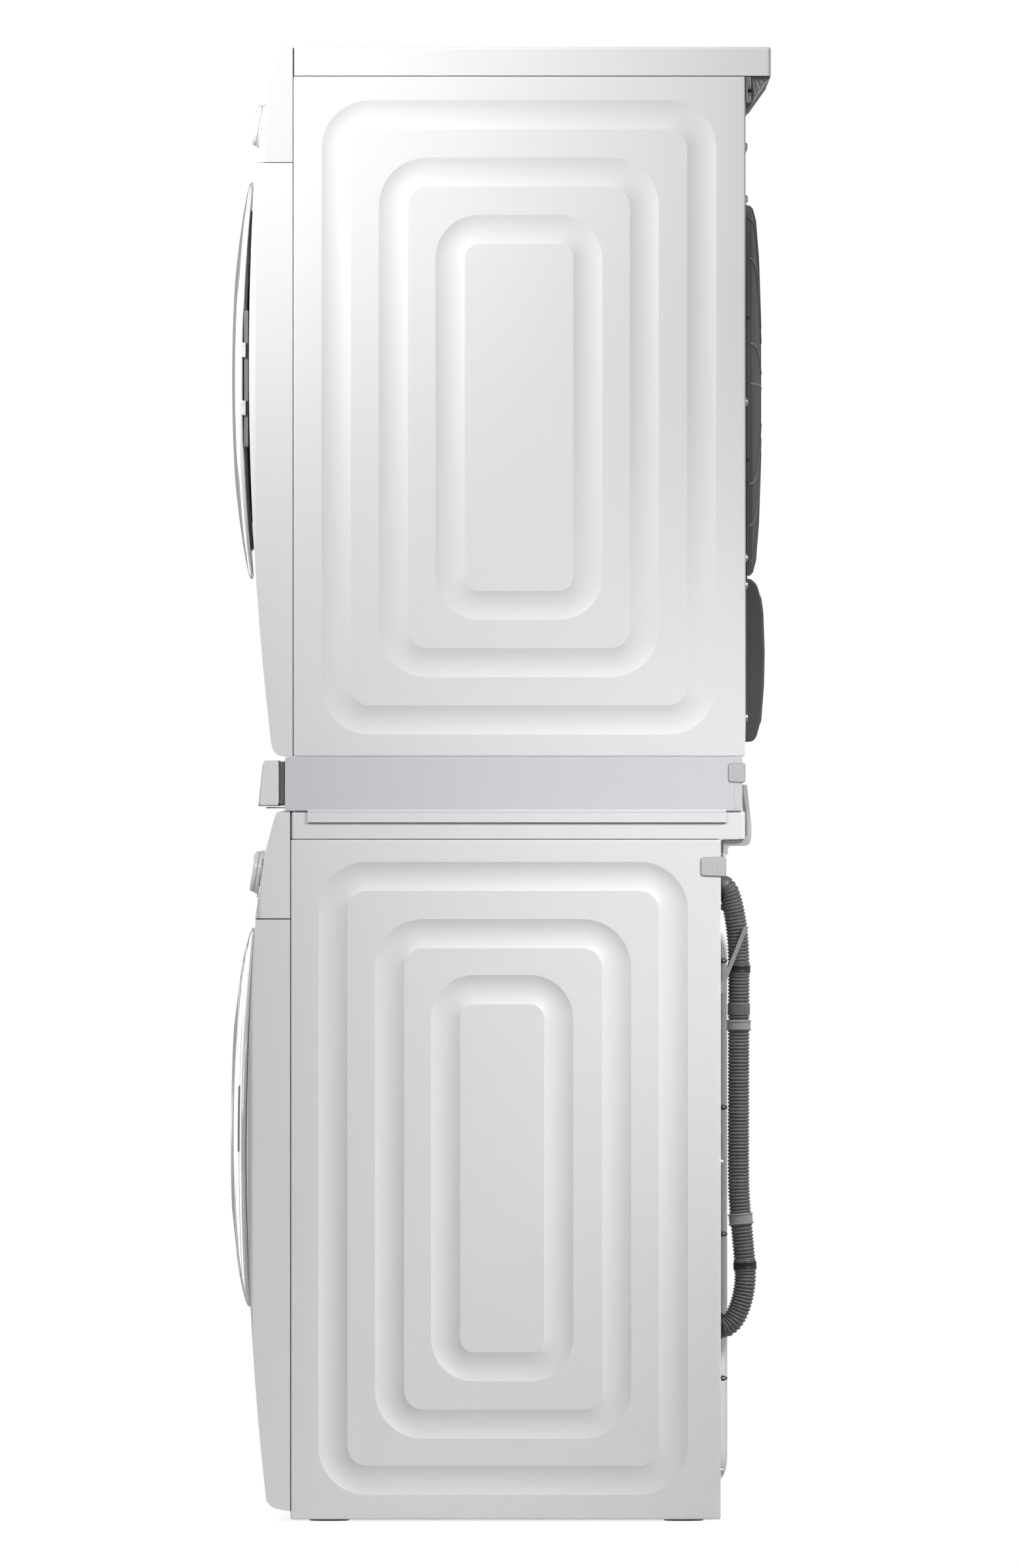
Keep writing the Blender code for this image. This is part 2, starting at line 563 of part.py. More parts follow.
def belt_loop(r0, r1):
    """Outline round the drum and the motor pulley at offsets r0 and r1."""
    ax, az = 0.0, DRYER_AXIS_Z
    bx, bz = MOTOR
    d = math.hypot(bx - ax, bz - az)
    base = math.atan2(bz - az, bx - ax)
    open_angle = math.acos((r0 - r1) / d)
    pts = []
    n = 28
    a0, a1 = base + open_angle, base + math.tau - open_angle
    for i in range(n + 1):
        a = a0 + (a1 - a0) * i / n
        pts.append((ax + r0 * math.cos(a), az + r0 * math.sin(a)))
    n = 5
    a0, a1 = base - open_angle, base + open_angle
    for i in range(n + 1):
        a = a0 + (a1 - a0) * i / n
        pts.append((bx + r1 * math.cos(a), bz + r1 * math.sin(a)))
    return pts


prism("dryer_drum_belt", [belt_loop(DRUM_R + 5.4, PULLEY_R + 4.0), belt_loop(DRUM_R + 2.8, PULLEY_R + 1.4)], "Y", *BELT_Y, look="dark")
turned("dryer_motor", [(6, 84), (58, 84), (62, 78), (62, -40), (52, -50), (6, -50)], MOTOR, "dark", steps=20)
turned("dryer_motor_pulley", [(0, 116), (PULLEY_R, 116), (PULLEY_R, 90), (5, 90), (5, -20), (0, -20)], MOTOR, "steel",
       V(MOTOR[0], 0, MOTOR[1]), steps=16, closed=False)
condenser = box("dryer_condenser", (-262.0, -236.0, 938.0), (-42.0, 80.0, 1090.0), "steel")
bevel(condenser, 6, 1)
boolean(condenser, box("cut_condenser_slots", (-250.0, -250.0, 952.0), (-54.0, 170.0, 1076.0)))

# ------------------------------------------------------------ dryer rear
duct = turned("dryer_rear_duct_upper",
              [(0, 313.0), (100, 312.8), (160, 310.3), (205, 306.5), (220, 303.5), (225, 297.5), (225, 294.0), (221.5, 294.0),
               (221.5, 297.0), (204, 302.8), (160, 306.8), (0, 309.4)],
              (0, 1358.7), "dark", steps=30, closed=False)
duct = prism("dryer_rear_duct_lower",
             [(294.0, 934.1), (304.9, 934.1), (308.0, 940.0), (312.8, 958.2), (316.0, 1002.5), (316.8, 1043.5), (315.2, 1090.1),
              (312.8, 1109.1), (308.5, 1124.0), (301.0, 1130.8), (294.0, 1130.8)],
             "X", -150, 205, "dark")
boolean(duct, prism("cut_duct_lower_hollow",
                    [(290.0, 938.0), (302.5, 938.0), (309.4, 960.2), (312.6, 1002.5), (313.2, 1043.5), (311.7, 1089.0), (305.5, 1121.0),
                     (299.0, 1127.0), (290.0, 1127.0)], "X", -146.5, 201.5))
gusset = prism("dryer_rear_gusset", [(294.3, 1694.0), (323.6, DRYER_COVER_BOTTOM - GAP), (294.3, DRYER_COVER_BOTTOM - GAP)],
               "X", -288, 288, "grey")

# ------------------------------------------------------------ stacking kit
for tag, side in (("right", 1), ("left", -1)):
    a, b = sorted((side * 297.6, side * 299.2))
    prism("kit_side_" + tag,
          [(KIT_FRONT, 856.0), (KIT_FRONT, KIT_TOP - 5), (KIT_FRONT + 5, KIT_TOP), (KIT_REAR, KIT_TOP), (KIT_REAR, KIT_BOTTOM),
           (271.0, KIT_BOTTOM), (271.0, KIT_LIP_BOTTOM), (-230.7, KIT_LIP_BOTTOM), (-230.7, KIT_BOTTOM), (KIT_FRONT + 4, KIT_BOTTOM)],
          "X", a, b)
    a, b = sorted((side * 299.4, side * 300.0))
    prism("kit_clip_" + tag, round_rect(273.5, 886.1, 293.2, 909.0, 4, n=2), "X", a, b, "steel")
    a, b = sorted((side * 268.0, side * 290.0))
    strap = prism("kit_strap_" + tag,
                  [(291.2, 883.2), (291.2, 872.0), (294.6, 853.5), (295.9, 834.2), (295.9, 822.3), (291.5, 816.8),
                   (267.4, 816.8), (267.4, 799.0), (273.3, 799.0), (273.3, 809.7), (294.7, 809.7), (299.5, 812.5), (301.4, 820.0),
                   (301.4, 834.2), (296.2, 883.2)],
                  "X", a, b, "steel")
    a, b = sorted((side * 285.0, side * 298.6))
    # the strap's foot wraps round the washer's rear edge and lies on its side
    boolean(strap, box("cut_strap_wrap_" + tag, (a, 266.8, 773.4), (b, 270.6, 805.0)), "UNION")
    a, b = sorted((side * 297.3, side * 298.6))
    boolean(strap, box("cut_strap_foot_" + tag, (a, 241.2, 773.4), (b, 270.6, 796.3)), "UNION")
# inverted channel that carries the dryer; the shelf runs inside it
prism("kit_deck", [(-297.3, KIT_BOTTOM), (-295.3, KIT_BOTTOM), (-295.3, 914.4), (295.3, 914.4), (295.3, KIT_BOTTOM), (297.3, KIT_BOTTOM),
                   (297.3, KIT_TOP), (-297.3, KIT_TOP)], "Y", -256.0, 288.0, "white")
shelf = box("kit_shelf", (-282.0, -265.0, 858.0), (282.0, 215.0, 898.0), "grey", V(0, -258, 880))
boolean(shelf, box("cut_kit_shelf", (-278.0, -261.0, 861.0), (278.0, 211.0, 905.0)))
prism("kit_shelf_handle", [(-283.6, 912.0), (-266.0, 912.4), (-265.4, 904.0), (-265.4, 857.9), (-289.1, 857.9)], "X", -297.0, 297.0,
      "grey", V(0, -258, 880))

# ------------------------------------------------------------ washer inside
TUB_R = 250.0
tub = turned("washer_tub",
             [(17, 168), (TUB_R - 14, 168), (TUB_R, 156), (TUB_R, -200), (236, -209), (168, -216.0), (156, -216.0), (156, -212.4),
              (168, -212.4), (234, -205.4), (TUB_R - 4, -198), (TUB_R - 4, 154), (TUB_R - 16, 164), (17, 164)],
             wc, "grey", steps=36)
drum = turned("washer_drum",
              [(0, 216), (14, 216), (14, 152), (222, 152), (236, 142), (236, -192), (222, -200), (166, -207), (156, -207), (156, -205.5),
               (166, -205.5), (221.4, -198.6), (234.5, -191.2), (234.5, 141.3), (221.4, 150.5), (0, 150.5)],
              wc, "steel", V(0, 0, WASHER_AXIS_Z), steps=36, closed=False)
lifters(drum, "washer", WASHER_AXIS_Z, 186, 234.9, -170, 130)
turned("washer_rotor", [(14.3, 214), (146, 214), (150, 210), (150, 186), (145, 186), (145, 209), (14.3, 209)], wc, "steel",
       V(0, 0, WASHER_AXIS_Z), steps=28)
turned("washer_door_gasket",
       [(158.0, -216.4), (158.0, -240.0), (156.5, -262.0), (160.0, -272.0), (167.4, -284.0), (167.4, -298.0),
        (160.0, -297.4), (158.0, -284.0), (149.5, -262.0), (151.0, -240.0), (151.0, -216.4)],
       wc, "rubber", steps=40)
cap = turned("washer_drain_filter", [(0, -245), (34, -245), (34, -262), (30, -266), (0, -266)], (200.0, 95.0), "dark",
             V(200, 0, 95), steps=20, closed=False)
boolean(cap, box("cut_filter_grip", (193.0, -276.0, 70.0), (207.0, -264.0, 120.0)), "UNION")

# ------------------------------------------------------------ drain hose
HOSE_X, HOSE_R = 240.0, 13.0
HOSE_ROUTE = [(264.8, 757.5), (271.0, 757.5), (278.5, 750.0), (281.0, 730.0), (284.0, 705.0), (285.6, 670.0), (285.6, 600.0),
              (285.6, 510.0), (285.6, 418.0), (287.5, 375.0), (291.0, 340.0), (293.8, 306.0), (293.8, 285.0), (289.5, 262.0),
              (281.5, 243.0), (272.0, 233.5), (264.8, 233.5)]
hose = tube("washer_drain_hose", [(HOSE_X, y, z) for y, z in HOSE_ROUTE], HOSE_R, "dark", 2)
prism("washer_hose_strap", [(298.0, 713.0), (292.5, 713.0), (265.0, 644.0), (265.0, 632.0), (269.5, 632.0)], "X", 253.5, 257.5, "grey")
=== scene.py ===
import math

import bmesh
import bpy
from mathutils import Matrix, Vector


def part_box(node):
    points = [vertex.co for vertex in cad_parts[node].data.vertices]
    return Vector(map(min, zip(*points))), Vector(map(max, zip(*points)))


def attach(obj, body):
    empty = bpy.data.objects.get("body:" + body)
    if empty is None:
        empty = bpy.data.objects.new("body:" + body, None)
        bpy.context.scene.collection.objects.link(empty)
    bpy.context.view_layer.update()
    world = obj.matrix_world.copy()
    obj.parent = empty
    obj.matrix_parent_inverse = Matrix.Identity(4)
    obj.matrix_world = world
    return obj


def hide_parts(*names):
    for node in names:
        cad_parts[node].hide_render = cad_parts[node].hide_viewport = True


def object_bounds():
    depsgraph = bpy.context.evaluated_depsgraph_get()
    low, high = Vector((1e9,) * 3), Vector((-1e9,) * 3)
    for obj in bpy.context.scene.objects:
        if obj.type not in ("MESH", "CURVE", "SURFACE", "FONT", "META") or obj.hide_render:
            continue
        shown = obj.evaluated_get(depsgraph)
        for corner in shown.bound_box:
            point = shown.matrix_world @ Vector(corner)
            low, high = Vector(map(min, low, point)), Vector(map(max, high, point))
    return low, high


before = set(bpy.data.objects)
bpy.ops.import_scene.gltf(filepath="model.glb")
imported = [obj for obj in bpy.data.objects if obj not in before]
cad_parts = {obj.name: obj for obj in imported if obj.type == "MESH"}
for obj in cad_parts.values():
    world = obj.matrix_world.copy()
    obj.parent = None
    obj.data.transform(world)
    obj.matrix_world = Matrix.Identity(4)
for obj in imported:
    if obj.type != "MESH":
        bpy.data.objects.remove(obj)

CAD_BOX = [list(map(float, c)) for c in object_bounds()]
MM = 0.001
scene = bpy.context.scene
scene.view_settings.view_transform = "Standard"
scene.view_settings.look = "None"


def V(x, y, z):
    return Vector((x * MM, y * MM, z * MM))


def mmbox(node):
    lo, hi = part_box(node)
    return [c * 1000 for c in lo], [c * 1000 for c in hi]


# ---------------------------------------------------------------- camera
(lx, ly, lz), (hx, hy, hz) = CAD_BOX
PX = 0.79                                # millimetres a pixel at the near side
cam_data = bpy.data.cameras.new("camera")
cam = bpy.data.objects.new("camera", cam_data)
scene.collection.objects.link(cam)
scene.camera = cam
DIST = 46.0
cam_data.sensor_fit = "VERTICAL"
cam_data.sensor_height = 36.0
cam_data.sensor_width = 44.0
frame_h = 2380 * PX * MM
near = DIST - hx
cam_data.lens = 36.0 * near / frame_h
mid_y = (1548 / 2 - 759) * PX * MM
mid_z = (2306.4 - 2380 / 2) * PX * MM + 0.002
cam.location = (DIST, mid_y, mid_z)
cam.rotation_euler = (math.radians(90), 0, math.radians(90))
cam_data.clip_end = 300


# ---------------------------------------------------------------- materials
def shader_of(mat):
    return mat.node_tree.nodes["Principled BSDF"]


def surface(name, colour, rough, metal=0.0, vary=0.03, vary_scale=6.0, grain=900.0, bump=0.04, depth=0.0002,
            rough_vary=0.04, stretch=None, coat=0.0, coat_rough=0.1, spec=0.5, ior=1.5, sheen=0.0):
    """A procedural surface: two-tone mottling, roughness variation and a fine
    moulded or painted grain."""
    mat = bpy.data.materials.new(name)
    mat.use_nodes = True
    nt = mat.node_tree
    n, l = nt.nodes, nt.links
    sh = shader_of(mat)
    tc = n.new("ShaderNodeTexCoord")
    mp = n.new("ShaderNodeMapping")
    if stretch:
        mp.inputs["Scale"].default_value = stretch
    l.new(tc.outputs["Object"], mp.inputs["Vector"])
    big = n.new("ShaderNodeTexNoise")
    big.inputs["Scale"].default_value = vary_scale
    big.inputs["Detail"].default_value = 3
    l.new(mp.outputs["Vector"], big.inputs["Vector"])
    ramp = n.new("ShaderNodeValToRGB")
    a = [max(0.0, c * (1 - vary)) for c in colour[:3]] + [1]
    b = [min(1.0, c * (1 + vary)) for c in colour[:3]] + [1]
    ramp.color_ramp.elements[0].position = 0.3
    ramp.color_ramp.elements[1].position = 0.7
    ramp.color_ramp.elements[0].color = a
    ramp.color_ramp.elements[1].color = b
    l.new(big.outputs["Fac"], ramp.inputs["Fac"])
    l.new(ramp.outputs["Color"], sh.inputs["Base Color"])
    fine = n.new("ShaderNodeTexNoise")
    fine.inputs["Scale"].default_value = grain
    fine.inputs["Detail"].default_value = 2
    l.new(mp.outputs["Vector"], fine.inputs["Vector"])
    rr = n.new("ShaderNodeMapRange")
    rr.inputs["To Min"].default_value = max(0.02, rough - rough_vary)
    rr.inputs["To Max"].default_value = min(1.0, rough + rough_vary)
    l.new(fine.outputs["Fac"], rr.inputs["Value"])
    l.new(rr.outputs["Result"], sh.inputs["Roughness"])
    bp = n.new("ShaderNodeBump")
    bp.inputs["Strength"].default_value = bump
    bp.inputs["Distance"].default_value = depth
    l.new(fine.outputs["Fac"], bp.inputs["Height"])
    l.new(bp.outputs["Normal"], sh.inputs["Normal"])
    sh.inputs["Metallic"].default_value = metal
    sh.inputs["Coat Weight"].default_value = coat
    sh.inputs["Coat Roughness"].default_value = coat_rough
    sh.inputs["Specular IOR Level"].default_value = spec
    sh.inputs["IOR"].default_value = ior
    sh.inputs["Sheen Weight"].default_value = sheen
    return mat


def spangled(name, colour, rough):
    """Hot-dip galvanised sheet: crystal spangle in colour, over a fine roughness grain."""
    mat = surface(name, colour, rough, metal=1.0, vary=0.04, vary_scale=20, grain=600, bump=0.05)
    nt = mat.node_tree
    n, l = nt.nodes, nt.links
    sh = shader_of(mat)
    tc = n.new("ShaderNodeTexCoord")
    vo = n.new("ShaderNodeTexVoronoi")
    vo.inputs["Scale"].default_value = 90
    l.new(tc.outputs["Object"], vo.inputs["Vector"])
    ramp = n.new("ShaderNodeValToRGB")
    ramp.color_ramp.elements[0].color = [c * 0.86 for c in colour[:3]] + [1]
    ramp.color_ramp.elements[1].color = [min(1, c * 1.12) for c in colour[:3]] + [1]
    l.new(vo.outputs["Color"], ramp.inputs["Fac"])
    l.new(ramp.outputs["Color"], sh.inputs["Base Color"])
    return mat


def perforated(name, colour, rough, pitch=0.011, hole=0.0016):
    """Drum sheet: brushed stainless with a staggered field of small holes."""
    mat = surface(name, colour, rough, metal=1.0, vary=0.03, vary_scale=10, grain=500, bump=0.05,
                  stretch=(1, 0.05, 1))
    nt = mat.node_tree
    n, l = nt.nodes, nt.links
    sh = shader_of(mat)
    tc = n.new("ShaderNodeTexCoord")
    vo = n.new("ShaderNodeTexVoronoi")
    vo.inputs["Scale"].default_value = 1 / pitch
    vo.inputs["Randomness"].default_value = 0.0
    l.new(tc.outputs["Object"], vo.inputs["Vector"])
    ramp = n.new("ShaderNodeValToRGB")
    ramp.color_ramp.elements[0].position = hole / pitch
    ramp.color_ramp.elements[1].position = hole / pitch + 0.03
    ramp.color_ramp.elements[0].color = (0.02, 0.02, 0.02, 1)
    ramp.color_ramp.elements[1].color = list(colour[:3]) + [1]
    l.new(vo.outputs["Distance"], ramp.inputs["Fac"])
    l.new(ramp.outputs["Color"], sh.inputs["Base Color"])
    return mat


def fins(name, colour, rough, pitch=0.0022):
    mat = surface(name, colour, rough, metal=1.0, vary=0.04, grain=500, bump=0.05)
    nt = mat.node_tree
    n, l = nt.nodes, nt.links
    sh = shader_of(mat)
    tc = n.new("ShaderNodeTexCoord")
    wv = n.new("ShaderNodeTexWave")
    wv.inputs["Scale"].default_value = 1 / pitch / 2
    wv.bands_direction = "X"
    l.new(tc.outputs["Object"], wv.inputs["Vector"])
    bp = n.new("ShaderNodeBump")
    bp.inputs["Strength"].default_value = 0.6
    bp.inputs["Distance"].default_value = 0.001
    l.new(wv.outputs["Fac"], bp.inputs["Height"])
    l.new(bp.outputs["Normal"], sh.inputs["Normal"])
    return mat


M = {
    "enamel": surface("white_enamel", (0.80, 0.802, 0.812), 0.40, vary=0.008, vary_scale=3, grain=520, bump=0.03, coat=0.25, coat_rough=0.22),
    "enamel_low": surface("white_enamel_washer", (0.785, 0.788, 0.80), 0.40, vary=0.008, vary_scale=3, grain=520, bump=0.03, coat=0.25, coat_rough=0.22),
    "plastic": surface("white_plastic", (0.81, 0.812, 0.82), 0.30, vary=0.008, vary_scale=4, grain=1400, bump=0.02, coat=0.3, coat_rough=0.12),
    "gloss": surface("gloss_white", (0.85, 0.855, 0.865), 0.12, vary=0.01, vary_scale=9, grain=700, bump=0.01, coat=1.0, coat_rough=0.04, rough_vary=0.03),
    "worktop": surface("white_laminate", (0.80, 0.802, 0.81), 0.42, vary=0.012, vary_scale=14, grain=1800, bump=0.08, depth=0.0003),
    "kit_lip": surface("kit_lip_enamel", (0.55, 0.555, 0.57), 0.42, vary=0.01, vary_scale=5, grain=700, bump=0.05),
    "kit": surface("kit_enamel", (0.655, 0.66, 0.685), 0.42, vary=0.01, vary_scale=5, grain=700, bump=0.05),
    "kit_grey": surface("kit_grey_plastic", (0.60, 0.605, 0.62), 0.40, vary=0.015, vary_scale=8, grain=1600, bump=0.12, depth=0.0002),
    "grey": surface("grey_plastic", (0.32, 0.325, 0.34), 0.48, vary=0.03, vary_scale=10, grain=1500, bump=0.15),
    "midgrey": surface("mid_grey_plastic", (0.19, 0.193, 0.20), 0.5, vary=0.03, vary_scale=10, grain=1500, bump=0.15),
    "duct": surface("dark_duct_plastic", (0.10, 0.102, 0.108), 0.46, vary=0.05, vary_scale=12, grain=1500, bump=0.18),
    "hose": surface("hose_plastic", (0.115, 0.118, 0.125), 0.42, vary=0.06, vary_scale=25, grain=1300, bump=0.10),
    "collar": surface("hose_collar_plastic", (0.27, 0.275, 0.285), 0.42, vary=0.04, vary_scale=20, grain=1300, bump=0.12),
    "black": surface("black_plastic", (0.012, 0.012, 0.014), 0.42, vary=0.1, vary_scale=15, grain=1500, bump=0.12),
    "rubber": surface("grey_rubber", (0.16, 0.163, 0.17), 0.72, vary=0.06, vary_scale=18, grain=1200, bump=0.25, sheen=0.1),
    "blackrubber": surface("black_rubber", (0.02, 0.02, 0.021), 0.8, vary=0.1, vary_scale=18, grain=1200, bump=0.25),
    "zinc": spangled("galvanised_steel", (0.56, 0.565, 0.575), 0.36),
    "clip": surface("bright_clip_steel", (0.64, 0.642, 0.655), 0.34, metal=0.25, vary=0.03, grain=500, bump=0.06, stretch=(1, 1, 0.1)),
    "chrome": surface("hinge_chrome", (0.85, 0.85, 0.86), 0.10, metal=1.0, vary=0.02, grain=300, bump=0.01, rough_vary=0.03),
    "drum": perforated("drum_stainless", (0.62, 0.62, 0.63), 0.28),
    "steel": surface("brushed_stainless", (0.60, 0.60, 0.61), 0.27, metal=1.0, vary=0.03, vary_scale=8, grain=700, bump=0.08, stretch=(1, 0.03, 1)),
    "alloy": fins("condenser_fins", (0.66, 0.665, 0.67), 0.35),
    "cast": surface("motor_casting", (0.50, 0.505, 0.51), 0.5, metal=1.0, vary=0.06, vary_scale=25, grain=300, bump=0.3),
    "fascia": surface("white_fascia", (0.745, 0.75, 0.762), 0.32, vary=0.008, vary_scale=4, grain=1400, bump=0.02, coat=0.3, coat_rough=0.12),
    # near-white, barely metallic hinge arm colour: painted chrome highlight
    "arm": surface("arm_painted_chrome_highlight", (0.90, 0.90, 0.91), 0.2, metal=0.3, vary=0.02, grain=300, bump=0.01, rough_vary=0.03),
    "knob": surface("knob_plastic", (0.88, 0.885, 0.90), 0.24, vary=0.02, vary_scale=30, grain=900, bump=0.01, coat=0.5, coat_rough=0.06),
    "lens": surface("tinted_lens", (0.018, 0.02, 0.026), 0.07, vary=0.15, vary_scale=5, grain=200, bump=0.0, rough_vary=0.02, coat=0.25, coat_rough=0.03, spec=0.4),
    "glass": surface("door_glass", (0.55, 0.58, 0.62), 0.04, vary=0.03, vary_scale=5, grain=200, bump=0.0, rough_vary=0.02, coat=0.5, coat_rough=0.02),
    "mark": surface("grey_print", (0.24, 0.245, 0.26), 0.5, vary=0.03, grain=900, bump=0.02),
}
shader_of(M["glass"]).inputs["Transmission Weight"].default_value = 0.8


def paint(node, mat):
    """Gives a carried-over CAD node its procedural material."""
    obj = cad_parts[node]
    for s in obj.material_slots:
        s.material = mat
    if not obj.material_slots:
        obj.data.materials.append(mat)


def finish_piece(obj, mat, body="cabinet", nodes=()):
    obj.data.materials.clear()
    obj.data.materials.append(mat)
    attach(obj, body)
    if nodes:
        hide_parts(*nodes)
    return obj


# ---------------------------------------------------------------- mesh tools
def new_object(name, mesh):
    obj = bpy.data.objects.new(name, mesh)
    scene.collection.objects.link(obj)
    return obj


def smooth(obj, angle=32):
    obj.data.shade_smooth()
    obj.data.set_sharp_from_angle(angle=math.radians(angle))
    return obj


def applied(obj, angle=32):
    """Replaces an object's mesh by its evaluated one, modifiers removed."""
    bpy.context.view_layer.update()
    graph = bpy.context.evaluated_depsgraph_get()
    mesh = bpy.data.meshes.new_from_object(obj.evaluated_get(graph))
    old = obj.data
    if isinstance(old, bpy.types.Curve):
        name = obj.name
        world = obj.matrix_world.copy()
        bpy.data.objects.remove(obj, do_unlink=True)
        mesh.transform(world)
        obj = new_object(name, mesh)
    else:
        obj.modifiers.clear()
        obj.data = mesh
    bm = bmesh.new()
    bm.from_mesh(mesh)
    bmesh.ops.remove_doubles(bm, verts=bm.verts, dist=0.000005)
    bmesh.ops.dissolve_degenerate(bm, edges=bm.edges, dist=0.000002)
    bm.to_mesh(mesh)
    bm.free()
    return smooth(obj, angle) if angle else obj


def box(name, lo, hi):
    bm = bmesh.new()
    bmesh.ops.create_cube(bm, size=1.0)
    bmesh.ops.scale(bm, vec=[(b - a) * MM for a, b in zip(lo, hi)], verts=bm.verts)
    bmesh.ops.translate(bm, vec=[(a + b) / 2 * MM for a, b in zip(lo, hi)], verts=bm.verts)
    mesh = bpy.data.meshes.new(name)
    bm.to_mesh(mesh)
    bm.free()
    return new_object(name, mesh)


AXIS_TURN = {
    "X": Matrix(((0, 0, 1), (1, 0, 0), (0, 1, 0))).to_4x4(),
    "Y": Matrix(((1, 0, 0), (0, 0, -1), (0, 1, 0))).to_4x4(),
    "Z": Matrix.Identity(4),
}


def prism(name, outlines, axis, low, high):
    if not isinstance(outlines[0], list):
        outlines = [outlines]
    curve = bpy.data.curves.new(name, "CURVE")
    curve.dimensions = "2D"
    curve.fill_mode = "BOTH"
    for pts in outlines:
        spline = curve.splines.new("POLY")
        spline.points.add(len(pts) - 1)
        spline.use_cyclic_u = True
        for p, (a, b) in zip(spline.points, pts):
            p.co = (a * MM, b * MM, 0, 1)
    curve.extrude = (high - low) / 2 * MM
    obj = new_object(name, curve)
    obj = applied(obj, None)
    bpy.data.curves.remove(curve)
    mid = (low + high) / 2
    shift = {"X": V(mid, 0, 0), "Y": V(0, mid, 0), "Z": V(0, 0, mid)}[axis]
    obj.data.transform(Matrix.Translation(shift) @ AXIS_TURN[axis])
    if mesh_volume(obj.data) < 0:
        obj.data.flip_normals()
    bm = bmesh.new()
    bm.from_mesh(obj.data)
    bmesh.ops.dissolve_limit(bm, angle_limit=0.002, verts=bm.verts, edges=bm.edges)
    bm.to_mesh(obj.data)
    bm.free()
    return obj


def mesh_volume(mesh):
    bm = bmesh.new()
    bm.from_mesh(mesh)
    v = bm.calc_volume(signed=True)
    bm.free()
    return v


def turned(name, profile, centre, steps=128, turn="Y", crown=None, closed=True, angle=32):
    """Ring-by-ring lathe of (radius, axial) points round +Y, +Z or a matrix."""
    bm = bmesh.new()
    rings = []
    for r, h in profile:
        if r < 1e-6:
            rings.append([bm.verts.new((0, 0, h * MM))])
        else:
            rings.append([bm.verts.new((r * MM * math.cos(math.tau * i / steps), r * MM * math.sin(math.tau * i / steps), h * MM)) for i in range(steps)])
    pairs = list(zip(rings, rings[1:])) + ([(rings[-1], rings[0])] if closed else [])
    for a, b in pairs:
        for i in range(steps):
            j = (i + 1) % steps
            quad = [a[i % len(a)], a[j % len(a)], b[j % len(b)], b[i % len(b)]]
            face = []
            for v in quad:
                if v not in face:
                    face.append(v)
            if len(face) > 2:
                bm.faces.new(face)
    bmesh.ops.recalc_face_normals(bm, faces=bm.faces)
    mesh = bpy.data.meshes.new(name)
    bm.to_mesh(mesh)
    bm.free()
    if turn == "Y":
        matrix = Matrix.Translation(V(centre[0], 0, centre[1])) @ Matrix(((1, 0, 0), (0, 0, 1), (0, -1, 0))).to_4x4()
    elif turn == "Z":
        matrix = Matrix.Translation(V(centre[0], centre[1], 0))
    else:
        matrix = turn
    mesh.transform(matrix)
    if crown is not None:
        z0, bend = crown
        for v in mesh.vertices:
            v.co.y += bend * (v.co.z / MM - z0) ** 2 * MM
    if mesh_volume(mesh) < 0:
        mesh.flip_normals()
    return smooth(new_object(name, mesh), angle)


def rounded(profile, radius, n=4, closed=True):
    """Rounds the corners of a lathe or outline profile."""
    out = []
    count = len(profile)
    for i, p in enumerate(profile):
        if not closed and i in (0, count - 1):
            out.append(p)
            continue
        a, b = profile[i - 1], profile[(i + 1) % count]
        va = Vector((a[0] - p[0], a[1] - p[1]))
        vb = Vector((b[0] - p[0], b[1] - p[1]))
        if va.length < 1e-6 or vb.length < 1e-6:
            out.append(p)
            continue
        r = min(radius, va.length * 0.45, vb.length * 0.45)
        pa = Vector(p) + va.normalized() * r
        pb = Vector(p) + vb.normalized() * r
        for k in range(n + 1):
            t = k / n
            q = pa * (1 - t) ** 2 + Vector(p) * 2 * t * (1 - t) + pb * t * t
            out.append((q.x, q.y))
    return out


def cut(obj, cutter, operation="DIFFERENCE", keep=False):
    mod = obj.modifiers.new("cut", "BOOLEAN")
    mod.operation = operation
    mod.object = cutter
    mod.solver = "EXACT"
    obj = applied(obj, None)
    if not keep:
        bpy.data.objects.remove(cutter, do_unlink=True)
    return obj


def bevelled(obj, width, segments=3, angle=30, smooth_angle=40):
    mod = obj.modifiers.new("edges", "BEVEL")
    mod.width = width * MM
    mod.segments = segments
    mod.limit_method = "ANGLE"
    mod.angle_limit = math.radians(angle)
    mod.use_clamp_overlap = True
    obj = applied(obj, smooth_angle)
    obj.modifiers.new("normals", "WEIGHTED_NORMAL").keep_sharp = True
    bpy.context.view_layer.update()
    graph = bpy.context.evaluated_depsgraph_get()
    mesh = bpy.data.meshes.new_from_object(obj.evaluated_get(graph))
    obj.modifiers.clear()
    obj.data = mesh
    return obj


def tube(name, pts, radius, resolution=6, cyclic=False):
    curve = bpy.data.curves.new(name, "CURVE")
    curve.dimensions = "3D"
    curve.bevel_depth = radius * MM
    curve.bevel_resolution = resolution
    curve.use_fill_caps = True
    spline = curve.splines.new("POLY")
    spline.points.add(len(pts) - 1)
    spline.use_cyclic_u = cyclic
    for p, co in zip(spline.points, pts):
        p.co = (co[0] * MM, co[1] * MM, co[2] * MM, 1)
    return applied(new_object(name, curve), 40)


def joined(name, objs):
    """Several solids as one piece."""
    bm = bmesh.new()
    for o in objs:
        start = len(bm.verts)
        o.data.transform(o.matrix_world)
        bm.from_mesh(o.data)
        bpy.data.objects.remove(o, do_unlink=True)
    mesh = bpy.data.meshes.new(name)
    bm.to_mesh(mesh)
    bm.free()
    return smooth(new_object(name, mesh), 35)


